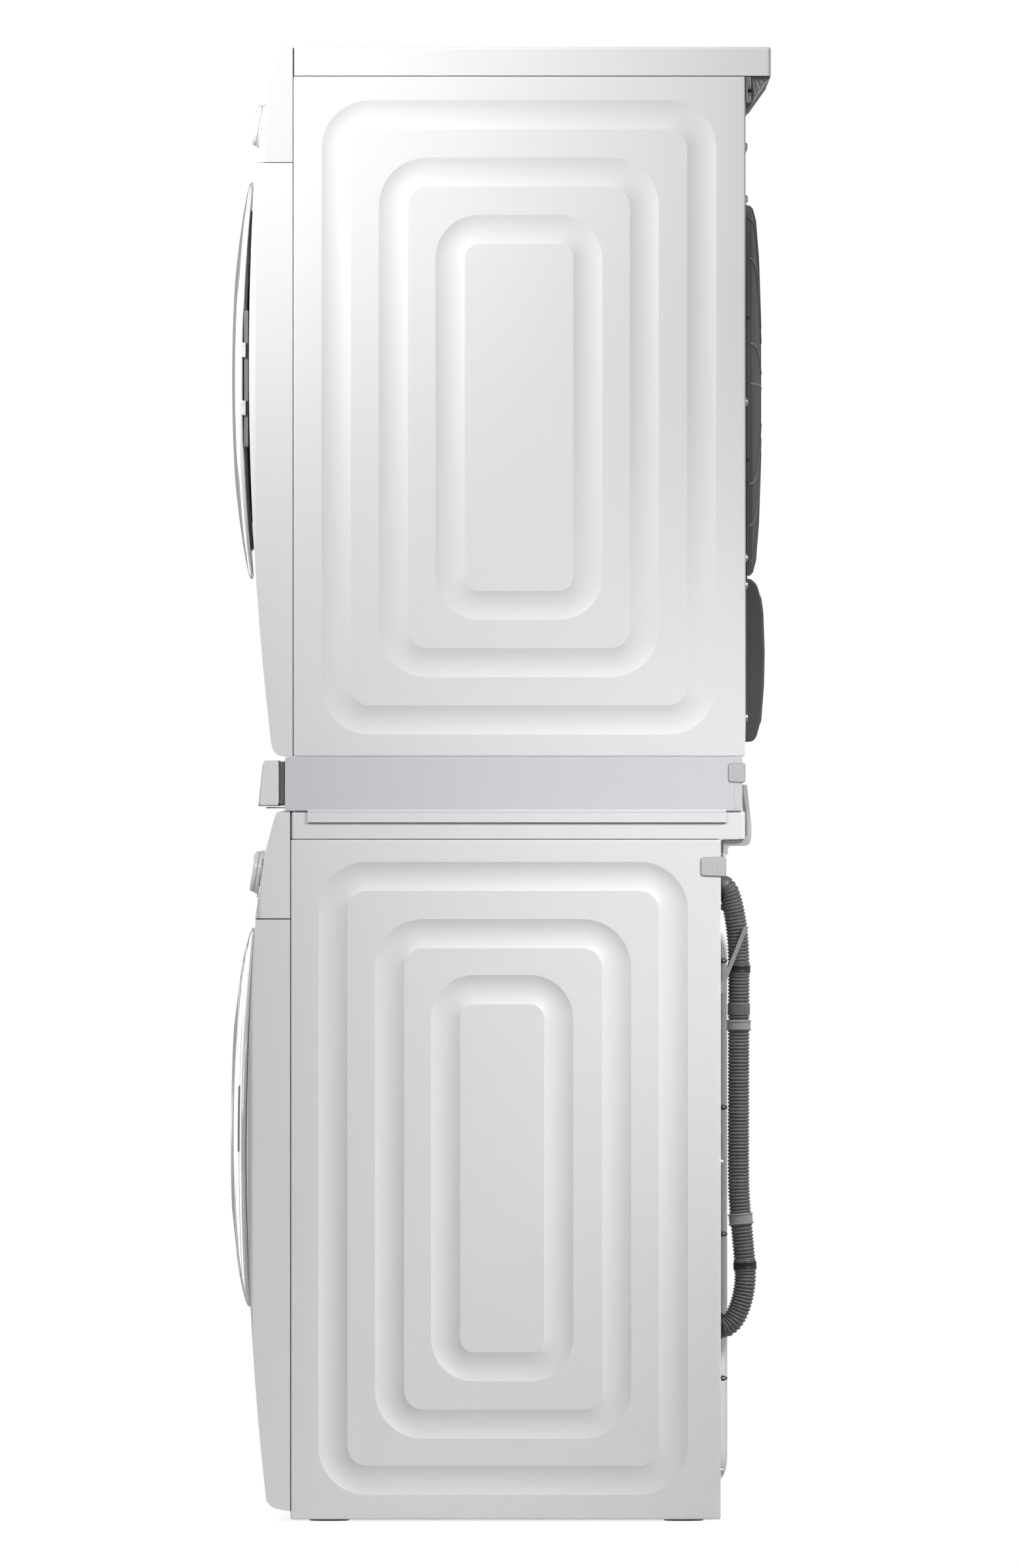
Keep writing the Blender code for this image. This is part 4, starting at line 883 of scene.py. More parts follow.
# ---------------------------------------------------------------- stacking kit
for tag, side in (("right", 1), ("left", -1)):
    a, b = sorted((side * 297.6, side * 299.2))
    band = prism("kit_band_" + tag,
                 [(-258.1, 852.6), (-258.1, 912.5)] + [(-254.1 - 4 * math.cos(math.radians(t)), 912.8 + 4 * math.sin(math.radians(t))) for t in range(10, 91, 10)]
                 + [(290.5, 916.8), (290.5, 851.9), (-257.4, 851.9)], "X", a, b)
    band = bevelled(band, 0.55, 3)
    finish_piece(band, M["kit"], "cabinet", ("kit_side_" + tag,))
    a, b = sorted((side * 297.35, side * 299.9))
    lip = prism("kit_lip_" + tag, rounded([(-230.7, 852.9), (271.0, 852.9), (271.0, 837.9), (-230.7, 837.9)], 1.0, 3), "X", a, b)
    finish_piece(bevelled(lip, 0.8, 3), M["enamel_low"], "cabinet", ("kit_side_" + tag,))
    a, b = sorted((side * 296.6, side * 297.9))
    shade = bevelled(box("kit_lip_shadow_" + tag, (a, -230.4, 836.7), (b, 270.7, 838.3)), 0.2, 2)
    finish_piece(shade, M["grey"], "cabinet", ())
    # folded seams: along the lip and down the rear edge
    x = side * 298.9
    fold = tube("kit_fold_" + tag, [(side * 299.6, -229.5, 850.4), (side * 299.6, 0, 850.4), (side * 299.6, 270.0, 850.4)], 0.6, 4)
    finish_piece(fold, M["kit"], "cabinet", ())
    fold = tube("kit_rear_fold_" + tag, [(side * 298.9, 281.5, 853.5), (side * 298.9, 281.5, 885.0), (side * 298.9, 281.5, 915.5)], 0.9, 4)
    finish_piece(fold, M["kit"], "cabinet", ())
    # spring clip with a stamped pill mark; a dark grey plate a little larger than the clip sits behind it, its rim
    # showing round the clip as painted shade in the gap
    a, b = sorted((side * 299.3, side * 300.5))
    clip = prism("kit_clip_plate_" + tag, rounded([(274.2, 887.0), (293.2, 886.1), (293.2, 909.0), (274.2, 908.2)], 3.5, 6), "X", a, b)
    finish_piece(bevelled(clip, 0.45, 3), M["clip"], "cabinet", ("kit_clip_" + tag,))
    # dark grey plate behind the clip: painted shade in the gap round its edge
    a, b = sorted((side * 299.0, side * 299.75))
    edge = prism("kit_clip_gap_shadow_" + tag, rounded([(273.4, 886.2), (294.0, 885.3), (294.0, 909.8), (273.4, 909.0)], 3.9, 6), "X", a, b)
    finish_piece(edge, M["grey"], "cabinet", ())
    pill = tube("kit_clip_stamp_" + tag, [(side * 300.45, 283.2 + 2.6 * math.cos(math.tau * i / 32), 897.6 + (3.2 if math.sin(math.tau * i / 32) >= 0 else -3.2) + 2.6 * math.sin(math.tau * i / 32)) for i in range(32)], 0.45, 3, True)
    finish_piece(pill, M["kit_grey"], "cabinet", ())
    a, b = sorted((side * 268.0, side * 290.0))
    pts = rounded([(291.2, 883.2), (291.2, 872.0), (294.6, 853.5), (295.9, 834.2), (295.9, 822.3), (291.5, 816.8),
                   (267.4, 816.8), (267.4, 799.0), (273.3, 799.0), (273.3, 809.7), (294.7, 809.7), (299.5, 812.5), (301.4, 820.0),
                   (301.4, 834.2), (296.2, 883.2)], 4.0, 5)
    strap = bevelled(prism("kit_strap_band_" + tag, pts, "X", a, b), 0.7, 2)
    finish_piece(strap, M["clip"], "cabinet", ("kit_strap_" + tag,))
    a, b = sorted((side * 285.0, side * 298.6))
    wrap = bevelled(box("kit_strap_wrap_" + tag, (a, 266.8, 773.4), (b, 270.6, 798.8)), 0.7, 2)
    finish_piece(wrap, M["clip"], "cabinet", ("kit_strap_" + tag,))
    a, b = sorted((side * 297.3, side * 298.8))
    foot = prism("kit_strap_foot_" + tag, rounded([(241.2, 774.4), (270.6, 773.4), (270.6, 796.3), (241.2, 795.3)], 3.5, 6), "X", a, b)
    finish_piece(bevelled(foot, 0.5, 3), M["clip"], "cabinet", ("kit_strap_" + tag,))
    # dark grey plate behind the strap foot: painted shade in the gap round its edge
    a, b = sorted((side * 296.9, side * 297.9))
    edge = prism("kit_foot_gap_shadow_" + tag, rounded([(240.4, 773.6), (271.2, 772.6), (271.2, 797.1), (240.4, 796.1)], 3.9, 6), "X", a, b)
    finish_piece(edge, M["grey"], "cabinet", ())
    pill = tube("kit_foot_stamp_" + tag, [(side * 298.8, 258.0 + 2.6 * math.cos(math.tau * i / 32), 785.0 + (3.2 if math.sin(math.tau * i / 32) >= 0 else -3.2) + 2.6 * math.sin(math.tau * i / 32)) for i in range(32)], 0.45, 3, True)
    finish_piece(pill, M["kit_grey"], "cabinet", ())

handle = prism("kit_handle_bar", rounded([(-283.4, 912.4), (-265.6, 912.6), (-265.3, 905.0), (-265.3, 858.6), (-289.3, 858.4)], 3.2, 5), "X", -297.0, 297.0)
scoop = prism("sc", rounded([(-283.5, 850), (-283.5, 874), (-270, 874), (-270, 850)], 5, 5), "X", -270, 270)
handle = bevelled(cut(handle, scoop), 1.0, 3)
finish_piece(handle, M["plastic"], "kit_tray", ("kit_shelf_handle",))
face = bevelled(prism("kit_handle_face", rounded([(-284.4, 908.6), (-282.0, 908.6), (-286.4, 859.6), (-266.0, 859.6), (-266.0, 857.4), (-290.0, 857.4)], 1.1, 3), "X", -296.0, 296.0), 0.4, 2)
finish_piece(face, M["grey"], "kit_tray", ("kit_shelf_handle",))
# the neck behind the handle is coloured dark grey as the shaded recess: painted shade
recess = bevelled(box("kit_handle_neck_shaded", (-293.5, -265.2, 859.5), (293.5, -258.9, 911.0)), 0.6, 2)
finish_piece(recess, M["midgrey"], "kit_tray", ())
rail = bevelled(box("kit_front_rail", (-293.0, -281.0, 854.6), (293.0, -257.0, 856.2)), 0.4, 2)
finish_piece(rail, M["kit"], "kit_tray", ())
shelf = box("kit_tray_body", (-282, -265, 858), (282, 215, 898))
shelf = cut(shelf, prism("sh", round_rect(-278, -258, 278, 211, 12), "Z", 861, 905))
finish_piece(bevelled(shelf, 1.0, 3), M["kit_grey"], "kit_tray", ("kit_shelf",))

# ---------------------------------------------------------------- rear panels and frame parts
back = prism("dryer_back_panel", round_rect(-294.7, 935.0, 294.7, 1732.9, 3), "Y", 291.0, 293.6)
finish_piece(bevelled(back, 0.6, 2), M["steel"], "cabinet", ("dryer_rear_panel",))
back = prism("washer_back_panel", round_rect(-294.7, 38.0, 294.7, 817.7, 3), "Y", 262.0, 264.4)
finish_piece(bevelled(back, 0.6, 2), M["steel"], "cabinet", ("washer_rear_panel",))


def lofted(name, loops, angle=25):
    """Skin through a stack of equal-count outlines (points, Y), capped at both ends."""
    bm = bmesh.new()
    rings = [[bm.verts.new(V(x, y, z)) for x, z in pts] for pts, y in loops]
    for p, q in zip(rings, rings[1:]):
        for i in range(len(p)):
            j = (i + 1) % len(p)
            bm.faces.new((p[i], p[j], q[j], q[i]))
    bm.faces.new(rings[0])
    bm.faces.new(rings[-1])
    bmesh.ops.recalc_face_normals(bm, faces=bm.faces)
    mesh = bpy.data.meshes.new(name)
    bm.to_mesh(mesh)
    bm.free()
    obj = new_object(name, mesh)
    if mesh_volume(mesh) < 0:
        mesh.flip_normals()
    return smooth(obj, angle)


def inset_rect(x0, z0, x1, z1, r, d):
    return round_rect(x0 + d, z0 + d, x1 - d, z1 - d, max(r - d, 2.0), 10)


C0 = (-232, 49.7, 222, 705.4, 40)
C1 = (-190, 110, 180, 640, 60)
loops = [(inset_rect(*C0, 0.0), 264.6), (inset_rect(*C0, 0.0), 265.6), (inset_rect(*C0, 1.0), 267.0), (inset_rect(*C0, 4.0), 269.0), (inset_rect(*C0, 10.0), 271.2),
         (inset_rect(*C0, 17.0), 272.5), (inset_rect(*C0, 23.0), 272.9), (inset_rect(*C1, 0.0), 272.9), (inset_rect(*C1, 2.0), 272.6), (inset_rect(*C1, 6.0), 270.9),
         (inset_rect(*C1, 9.0), 269.8), (inset_rect(*C1, 13.0), 269.4)]
finish_piece(lofted("washer_back_cover", loops), M["enamel_low"], "cabinet", ("washer_rear_cover",))
for i, zc in enumerate((190, 270, 350, 430, 510, 590)):
    R0 = (-128, zc - 13, 118, zc + 13, 13)
    loops = [(inset_rect(*R0, 0.0), 269.0), (inset_rect(*R0, 0.4), 269.6), (inset_rect(*R0, 3.0), 271.2), (inset_rect(*R0, 6.0), 272.2), (inset_rect(*R0, 9.0), 272.5)]
    finish_piece(lofted(f"washer_back_rib_{i}", loops), M["enamel_low"], "cabinet", ())

# push fasteners through the washer's back panel, either side of the cover
for i, (x, z) in enumerate([(264, 672), (264, 496), (264, 344), (264, 171), (-264, 672), (-264, 496), (-264, 344), (-264, 171), (-150, 735), (120, 735)]):
    plug = turned(f"push_fastener_{i}", rounded([(0, 272.9), (0.9, 272.6), (2.6, 270.0), (3.3, 267.4), (3.3, 266.4), (2.3, 266.0), (2.3, 265.2), (5.2, 265.2), (5.2, 264.2), (0, 264.2)], 0.3, 3, False), (x, z), 36, closed=False)
    plug = cut(plug, box("pn", (x - 6, 266.4, z - 0.55), (x + 6, 270.4, z + 0.55)))
    finish_piece(smooth(plug, 35), M["black"], "cabinet", ())


def screw(name, x, y, z, r=4.6, mat="zinc", turn=None):
    """Pan-head screw facing the back, with a cross recess."""
    head = turned(name, rounded([(0, y - 0.6), (r + 1.4, y - 0.6), (r + 1.4, y + 0.5), (r, y + 0.9), (r * 0.9, y + 2.6), (r * 0.55, y + 3.4), (0, y + 3.5)], 0.4, 3, False), (x, z), 40, closed=False)
    for w, h in ((0.55, 2.5), (2.5, 0.55)):
        head = cut(head, box("cx", (x - w, y + 2.0, z - h), (x + w, y + 6, z + h)))
    finish_piece(smooth(head, 35), M[mat], "cabinet", ())


for i, (x, z) in enumerate([(288, 1585.5), (288, 1342), (288, 1155), (288, 1122.5), (288, 963.7), (-288, 1585.5), (-288, 1342), (-288, 1155), (-288, 963.7), (0, 1650), (-200, 1650), (200, 1650)]):
    screw(f"rear_screw_{i}", x, 294.0, z)
for i, (x, z) in enumerate([(286, 790), (-286, 790), (286, 430), (-286, 430), (286, 60), (-286, 60), (0, 760), (-160, 760)]):
    screw(f"washer_screw_{i}", x, 264.8, z)

# upper rear duct: shallow dish with stiffening fins on the rim
dish = turned("rear_duct_dish",
              rounded([(0, 313.0), (60, 312.9), (64, 314.6), (72, 314.6), (76, 312.8), (100, 312.8), (160, 310.3), (205, 306.5), (219.4, 303.4), (223.3, 298.4),
                       (225, 297.0), (225, 294.2), (221.5, 294.2), (221.5, 297), (204, 302.8), (160, 306.8), (0, 309.4)], 1.6, 3, False), (0, 1358.7), 192, closed=False)
finish_piece(dish, M["duct"], "cabinet", ("dryer_rear_duct_upper",))
# the fins are coloured a lighter grey than the dark dish they are moulded on, standing in for their lit edges: painted
# highlight
for i, deg in enumerate((45, 14.2, 1.6, -30.7, -47.1, 135, 165.8, 178.4, 210.7, 227.1, 68, 90, 112, -68, -90, -112)):
    a = math.radians(deg)
    ca, sa = math.cos(a), math.sin(a)
    fin = prism("f", rounded([(80, 312.2), (160, 309.6), (205, 305.9), (219.0, 302.6), (223.5, 298.2), (223.8, 300.6), (219.6, 305.0), (205, 308.9), (160, 312.5), (80, 315.2)], 1.0, 2), "X", -1.3, 1.3)
    # outline columns are (distance from centre, Y); the fin is turned to its angle
    for v in fin.data.vertices:
        w, r, y = v.co.x, v.co.y, v.co.z
        v.co = (r * ca - w * sa, y, 1358.7 * MM + r * sa + w * ca)
    if mesh_volume(fin.data) < 0:
        fin.data.flip_normals()
    fin.name = fin.data.name = f"rear_duct_fin_{i}"
    finish_piece(bevelled(fin, 0.4, 2), M["grey"], "cabinet", ())
for i in range(8):
    a = math.radians(22.5 + 45 * i)
    screw(f"duct_screw_{i}", 221.0 * math.cos(a), 296.6, 1358.7 + 221.0 * math.sin(a), 3.2, "black")

# lower rear duct
pts = rounded([(294.1, 934.6), (302.0, 935.0), (305.4, 937.0), (308, 941.0), (312.8, 958.2), (316.0, 1002.5), (316.8, 1043.5), (315.2, 1090.1), (312.8, 1109.1),
               (308.5, 1124.0), (301.0, 1130.6), (294.1, 1130.6)], 5.0, 5)
low = bevelled(prism("rear_duct_lower", pts, "X", -150, 205), 4.0, 4)
finish_piece(low, M["duct"], "cabinet", ("dryer_rear_duct_lower",))
for i in range(9):
    x = -128 + 39.0 * i
    pts = rounded([(306, 946), (313.8, 958.4), (317.2, 1002.5), (318.0, 1043.5), (316.4, 1090.1), (313.8, 1109.1), (306, 1118)], 3.0, 3)
    rib = bevelled(prism(f"rear_duct_rib_{i}", pts, "X", x - 2.2, x + 2.2), 0.9, 3)
    finish_piece(rib, M["duct"], "cabinet", ())
flange = prism("rear_duct_flange", round_rect(-158, 934.8, 213, 1134.5, 12), "Y", 293.8, 297.0)
finish_piece(bevelled(flange, 0.8, 3), M["duct"], "cabinet", ())

# gusset under the dryer cover: moulded wedge with curved ribs
wedge = prism("rear_gusset", [(294.3, 1694.2), (297.6, 1694.2), (323.4, 1730.6), (323.4, 1732.9), (294.3, 1732.9)], "X", -285.6, 285.6)
finish_piece(bevelled(wedge, 0.5, 2), M["midgrey"], "cabinet", ("dryer_rear_gusset",))
RIBS = [((303.4, 1731.6), (303.9, 1722.0), (306.5, 1710.7)), ((307.3, 1731.6), (308.6, 1724.6), (312.1, 1717.6)), ((311.3, 1731.6), (312.9, 1727.0), (316.6, 1723.8)),
        ((315.2, 1731.6), (317.2, 1729.8), (320.2, 1728.9))]
for side in (1, -1):
    t = "r" if side > 0 else "l"
    # ribs and rim tube are coloured a lighter grey than the wedge, standing in for their lit crests: painted highlight
    for k, (p, q, r) in enumerate(RIBS):
        curve = []
        for j in range(13):
            u = j / 12
            curve.append((side * 285.8, (1 - u) ** 2 * p[0] + 2 * u * (1 - u) * q[0] + u * u * r[0], (1 - u) ** 2 * p[1] + 2 * u * (1 - u) * q[1] + u * u * r[1]))
        finish_piece(tube(f"gusset_rib_{t}_{k}", curve, 1.0, 4), M["grey"], "cabinet", ())
    rim = [(side * 285.8, 300.2, 1698.4), (side * 285.8, 311.5, 1714.3), (side * 285.8, 322.2, 1729.4)]
    finish_piece(tube(f"gusset_rim_{t}", rim, 1.1, 4), M["grey"], "cabinet", ())
    a, b = sorted((side * 286.2, side * 288.6))
    tab = prism("gusset_flange_" + t, rounded([(293.8, 1701.2), (299.8, 1701.2), (301.0, 1703.2), (301.0, 1732.4), (293.8, 1732.4)], 1.0, 3), "X", a, b)
    finish_piece(bevelled(tab, 0.4, 2), M["kit"], "cabinet", ())
    a, b = sorted((side * 288.8, side * 290.4))
    tab = prism("gusset_edge_" + t, [(294.9, 1701.6), (296.8, 1701.6), (296.8, 1732.2), (294.9, 1732.2)], "X", a, b)
    finish_piece(bevelled(tab, 0.3, 2), M["gloss"], "cabinet", ())
    for dz, rad, mat in ((0.0, 2.6, "black"), (4.6, 1.7, "grey"), (-4.6, 1.7, "grey")):
        pin = turned(f"gusset_pin_{t}_{int(dz * 10) + 50}", rounded([(0, 289.7), (rad - 0.5, 289.5), (rad, 288.9), (rad, 286.4), (0, 286.4)], 0.3, 2, False), None, 32,
                     (Matrix.Translation(V(0, 299.6, 1715.4 + dz)) @ Matrix(((0, 0, side), (0, 1, 0), (-side, 0, 0))).to_4x4()), closed=False)
        finish_piece(pin, M[mat], "cabinet", ())

# ---------------------------------------------------------------- seams and hems
for side in (1, -1):
    t = "r" if side > 0 else "l"
    for name, lo, hi, mat in (
            ("seam_dryer_front", (290.0, -248.75, 918.2), (297.12, -247.85, 1767.2), "black"),
            ("seam_washer_front", (290.0, -251.85, 12.6), (297.12, -250.95, 850.8), "black"),
            ("seam_dryer_cover", (290.0, -247.6, 1732.5), (297.12, 291.0, 1733.5), "black"),
            ("seam_washer_cover", (290.0, -250.6, 817.4), (297.12, 262.0, 818.1), "black"),
            # the dryer back strip is a dark joint and also stands in for the back panel's shadow on the side's rear
            # edge: painted shade
            ("seam_and_shadow_dryer_back", (290.0, 290.6, 921.0), (296.2, 293.0, 1731.8), "black"),
            ("seam_washer_back", (290.0, 261.6, 18.0), (296.2, 264.3, 817.4), "grey"),
            ("hem_dryer_back", (289.0, 292.9, 936.0), (295.4, 294.3, 1700.8), "gloss")):
        a, b = sorted((side * lo[0], side * hi[0]))
        piece = box(f"{name}_{t}", (a, lo[1], lo[2]), (b, hi[1], hi[2]))
        finish_piece(bevelled(piece, 0.2, 2), M[mat], "cabinet", ())
for name, seam, slope, mat in (("seam_dryer_fascia", S, DRYER_SLOPE, "black"), ("seam_washer_fascia", SW, WASHER_SLOPE, "black")):
    z = slope[0][1]
    strip = plan(name, seam, slope[0][0] - 0.05, z - 0.85 + 5, z + 0.05 - 5, 9.0, HALF + 0.1)
    finish_piece(strip, M[mat], "cabinet", ())

# ---------------------------------------------------------------- drain hose
HOSE_X = 240.0
ROUTE = [(264.8, 761.0), (269.5, 760.0), (275.0, 752.0), (280.6, 731), (284.6, 704), (286.4, 668), (286.4, 600), (286.2, 510), (286.2, 418), (287.8, 375),
         (291, 340), (293.8, 306), (293.8, 285), (289.5, 262), (281.5, 243), (272, 233.5), (264.8, 233.5)]


def route_samples(pts, step):
    """Catmull-Rom through the route, resampled at an even arc length."""
    dense = []
    ext = [pts[0]] + pts + [pts[-1]]
    for i in range(1, len(ext) - 2):
        p0, p1, p2, p3 = (Vector(ext[k]) for k in (i - 1, i, i + 1, i + 2))
        for k in range(40):
            t = k / 40
            dense.append(0.5 * ((2 * p1) + (p2 - p0) * t + (2 * p0 - 5 * p1 + 4 * p2 - p3) * t * t + (3 * p1 - p0 - 3 * p2 + p3) * t ** 3))
    dense.append(Vector(pts[-1]))
    out, run = [dense[0]], 0.0
    for a, b in zip(dense, dense[1:]):
        d = (b - a).length
        while run + d >= step:
            f = (step - run) / d
            a = a.lerp(b, f)
            out.append(a.copy())
            d = (b - a).length
            run = 0.0
        run += d
    return out


def hose_mesh(name, centres, radii, seg=48, x=HOSE_X):
    bm = bmesh.new()
    rings = []
    for i, (c, r) in enumerate(zip(centres, radii)):
        a = centres[max(0, i - 1)]
        b = centres[min(len(centres) - 1, i + 1)]
        t = (b - a).normalized()
        nrm = Vector((-t.y, t.x))
        rings.append([bm.verts.new(V(x + r * math.cos(math.tau * k / seg), c.x + nrm.x * r * math.sin(math.tau * k / seg), c.y + nrm.y * r * math.sin(math.tau * k / seg)))
                      for k in range(seg)])
    for a, b in zip(rings, rings[1:]):
        for k in range(seg):
            m = (k + 1) % seg
            bm.faces.new((a[k], a[m], b[m], b[k]))
    bm.faces.new(rings[0])
    bm.faces.new(rings[-1])
    bmesh.ops.recalc_face_normals(bm, faces=bm.faces)
    mesh = bpy.data.meshes.new(name)
    bm.to_mesh(mesh)
    bm.free()
    obj = new_object(name, mesh)
    if mesh_volume(mesh) < 0:
        mesh.flip_normals()
    return smooth(obj, 60)


STEP = 0.5
samples = route_samples(ROUTE, STEP)
CUFFS = ((655.0, 668.0), (606.0, 620.0), (299.0, 312.0))
radii = []
for i, c in enumerate(samples):
    s = i * STEP
    z = c.y
    if any(a <= z <= b for a, b in CUFFS) or s < 6 or s > (len(samples) - 12) * STEP:
        radii.append(13.4)
        continue
    wave = 0.5 + 0.5 * math.cos(math.tau * s / 4.1)
    radii.append(11.3 + 1.9 * wave ** 0.55)
finish_piece(hose_mesh("drain_hose_run", samples, radii), M["hose"], "cabinet", ("washer_drain_hose",))


def sleeve(name, z0, z1, r, lip, mat):
    pts = [c for c in samples if z0 <= c.y <= z1]
    n = len(pts)
    rr = []
    for i in range(n):
        d = min(i, n - 1 - i) * STEP
        rr.append(r + (lip if d < 1.8 else 0.0) - (0.8 if d < 0.6 else 0.0))
    obj = hose_mesh(name, pts, rr)
    return finish_piece(obj, M[mat], "cabinet", ())


sleeve("hose_collar_upper", 588.0, 600.5, 14.2, 1.2, "collar")
sleeve("hose_collar_lower", 355.0, 368.5, 14.2, 1.2, "collar")
sleeve("hose_cuff_upper", 657.5, 666.0, 13.9, 0.5, "black")
sleeve("hose_cuff_lower", 301.5, 310.5, 13.9, 0.5, "black")
for i, (y0, z0) in enumerate(((264.9, 757.5), (264.9, 233.5))):
    nut = turned(f"hose_fitting_{i}", rounded([(0, 264.4), (15.5, 264.4), (15.5, 266.4), (14.2, 267.4), (13.9, 268.6), (0, 268.6)], 0.4, 3, False), (HOSE_X, z0), 48, closed=False)
    finish_piece(nut, M["black"], "cabinet", ())
strap = bevelled(prism("hose_hook", rounded([(298.4, 713.2), (292.5, 713.2), (265.0, 644.0), (264.9, 631.6), (269.8, 631.6), (269.8, 643.0)], 2.0, 4), "X", 252.8, 258.2), 0.7, 3)
finish_piece(strap, M["grey"], "cabinet", ("washer_hose_strap",))

# ---------------------------------------------------------------- feet
for tag, x, y in (("front_right", 255, -205), ("front_left", -255, -205), ("rear_right", 255, 220), ("rear_left", -255, 220)):
    pad = turned(f"foot_pad_{tag}", rounded([(0, 9.4), (17.5, 9.4), (21.5, 8.0), (24.0, 4.6), (24.0, 0.9), (22.8, 0.0), (18.0, 0.0), (16.5, 1.2), (0, 1.2)], 0.8, 4, False),
                 (x, y), 64, "Z", closed=False)
    finish_piece(pad, M["blackrubber"], "cabinet", ("washer_foot_" + tag,))
    hexagon = [(x + 11 * math.cos(math.radians(60 * k + 15)), y + 11 * math.sin(math.radians(60 * k + 15))) for k in range(6)]
    nut = bevelled(prism(f"foot_nut_{tag}", hexagon, "Z", 21.0, 28.6), 0.8, 2)
    finish_piece(nut, M["zinc"], "cabinet", ("washer_foot_" + tag,))
    thread = [(0, 30.0)]
    for k in range(16):
        z = 29.6 - 1.28 * k
        thread += [(5.0, z), (4.2, z - 0.64)]
    thread += [(5.0, 9.0), (0, 9.0)]
    stem = turned(f"foot_stem_{tag}", thread, (x, y), 32, "Z", closed=False)
    finish_piece(stem, M["zinc"], "cabinet", ("washer_foot_" + tag,))

# ---------------------------------------------------------------- service parts
cap = turned("drain_filter_cap", rounded([(0, -245.4), (34, -245.4), (34, -251.0), (31.5, -254.0), (26.0, -254.8), (24.0, -253.0), (0, -253.0)], 1.0, 3, False), (200, 95), 96, closed=False)
finish_piece(cap, M["grey"], "drain_filter", ("washer_drain_filter",))
grip = bevelled(prism("drain_filter_grip", rounded([(172.0, 89.5), (200, 87.6), (228.0, 89.5), (228.0, 100.5), (200, 102.4), (172.0, 100.5)], 3.0, 4), "Y", -265.4, -252.0), 1.6, 4)
finish_piece(grip, M["grey"], "drain_filter", ("washer_drain_filter",))
knurls = [bevelled(box("k", (200 + 33.2 * math.cos(math.tau * k / 24) - 1.2, -251.0, 95 + 33.2 * math.sin(math.tau * k / 24) - 1.2),
                       (200 + 33.2 * math.cos(math.tau * k / 24) + 1.2, -245.6, 95 + 33.2 * math.sin(math.tau * k / 24) + 1.2)), 0.4, 2) for k in range(24)]
finish_piece(joined("drain_filter_knurls", knurls), M["grey"], "drain_filter", ())

frame_piece = box("lint_filter_frame", (-69, -270.8, 1108), (69, -258.2, 1199))
frame_piece = cut(frame_piece, box("lf", (-58, -280, 1118), (58, -250, 1186)))
frame_piece = bevelled(frame_piece, 1.4, 3)
finish_piece(frame_piece, M["grey"], "lint_filter", ("dryer_lint_filter",))
bars = [bevelled(box("b", (x - 1.1, -268.5, 1117), (x + 1.1, -260.5, 1187)), 0.5, 2) for x in (-38, -19, 0, 19, 38)]
bars += [bevelled(box("b", (-59, -268.4, z - 1.1), (59, -260.6, z + 1.1)), 0.5, 2) for z in (1135, 1152, 1169)]
finish_piece(joined("lint_filter_grid", bars), M["grey"], "lint_filter", ())
wires = [box("w", (-58.5 + 2.4 * k, -264.9, 1117), (-57.9 + 2.4 * k, -264.1, 1187)) for k in range(49)]
wires += [box("w", (-59, -264.9, 1118.5 + 2.4 * k), (59, -264.1, 1119.1 + 2.4 * k)) for k in range(28)]
finish_piece(joined("lint_filter_mesh", wires), M["steel"], "lint_filter", ())

plates = [box("p", (-249.4 + 4.0 * k, -232.0, 952.5), (-248.9 + 4.0 * k, 76.0, 1075.5)) for k in range(49)]
finish_piece(joined("condenser_plates", plates), M["alloy"], "cabinet", ())
rows = []
for r in range(4):
    for k in range(6):
        yy, zz = -214.0 + 15.0 * r, 965.0 + 20.0 * k
        rows.append(tube("t", [(-251.0, yy, zz), (-152.0, yy, zz), (-53.0, yy, zz)], 3.6, 3))
finish_piece(joined("condenser_tubes", rows), M["clip"], "cabinet", ())

for node, mat in (("dryer_base", "zinc"), ("washer_base", "zinc"), ("dryer_condenser", "alloy"), ("dryer_drum_belt", "blackrubber"), ("dryer_motor", "cast"),
                  ("dryer_motor_pulley", "steel"), ("kit_deck", "kit"), ("washer_rotor", "cast"), ("washer_tub", "grey")):
    paint(node, M[mat])

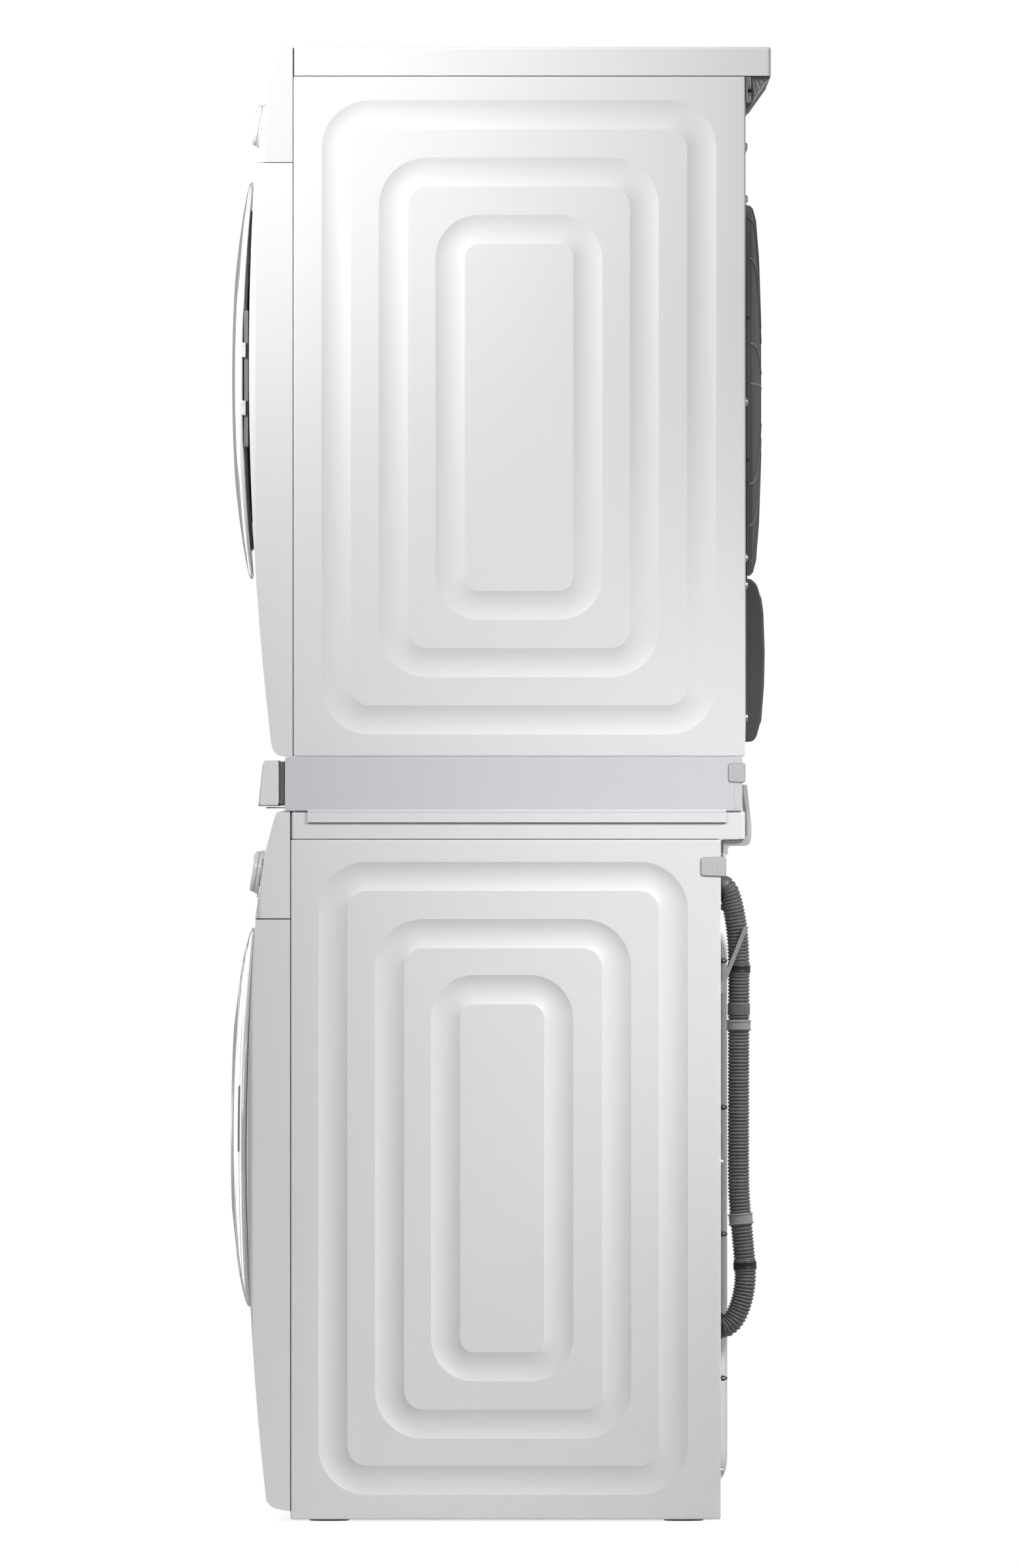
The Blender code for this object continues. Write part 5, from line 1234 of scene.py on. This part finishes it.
# ---------------------------------------------------------------- studio
floor_mesh = bpy.data.meshes.new("studio_floor")
bm = bmesh.new()
bmesh.ops.create_grid(bm, x_segments=8, y_segments=8, size=5.0)
bm.to_mesh(floor_mesh)
bm.free()
floor = new_object("studio_floor", floor_mesh)
floor.location.z = -0.0005
floor.data.materials.append(surface("pale_floor", (0.66, 0.66, 0.66), 0.75, vary=0.004, grain=60, bump=0.0, rough_vary=0.02))
floor_shader = shader_of(floor.data.materials[0])
floor_shader.inputs["Emission Color"].default_value = (1, 1, 1, 1)
fn, fl = floor.data.materials[0].node_tree.nodes, floor.data.materials[0].node_tree.links
seen = fn.new("ShaderNodeLightPath")
glow = fn.new("ShaderNodeMath")
glow.operation = "MULTIPLY"
glow.inputs[1].default_value = 0.80
fl.new(seen.outputs["Is Camera Ray"], glow.inputs[0])
fl.new(glow.outputs["Value"], floor_shader.inputs["Emission Strength"])


def area(name, loc, target, size_x, size_y, power, colour=(1, 1, 1), spread=180):
    data = bpy.data.lights.new(name, "AREA")
    data.shape = "RECTANGLE"
    data.size, data.size_y = size_x, size_y
    data.energy = power
    data.color = colour
    data.spread = math.radians(spread)
    obj = bpy.data.objects.new(name, data)
    obj.location = loc
    obj.rotation_euler = (Vector(target) - Vector(loc)).to_track_quat("-Z", "Y").to_euler()
    obj.visible_camera = False
    scene.collection.objects.link(obj)
    return obj


area("key_upper", (1.9, -1.4, 2.5), (0.3, -0.2, 1.66), 0.6, 0.6, 5.3, spread=50)
area("key_lower", (1.4, 1.3, 1.9), (0.3, -0.12, 0.24), 0.5, 0.5, 2.95, spread=43)
area("top_fill", (0.0, 0.2, 4.2), (0.0, 0.0, 0.0), 2.0, 2.0, 9.0)
area("front_fill", (-1.5, -3.3, 1.35), (0.0, -0.3, 0.8), 1.2, 1.6, 15.0)
area("left_fill", (-3.1, -1.85, 1.15), (-0.3, -0.1, 0.9), 2.2, 2.8, 23.0)
area("rear_fill", (-0.6, 3.4, 1.7), (0.0, 0.3, 0.9), 1.8, 2.0, 18.0)

world = bpy.data.worlds.new("studio")
world.use_nodes = True
scene.world = world
wn, wl = world.node_tree.nodes, world.node_tree.links
bg = wn["Background"]
bg.inputs["Color"].default_value = (1, 1, 1, 1)
path = wn.new("ShaderNodeLightPath")
level = wn.new("ShaderNodeMapRange")
level.inputs["To Min"].default_value = 0.30
level.inputs["To Max"].default_value = 1.02
wl.new(path.outputs["Is Camera Ray"], level.inputs["Value"])
wl.new(level.outputs["Result"], bg.inputs["Strength"])
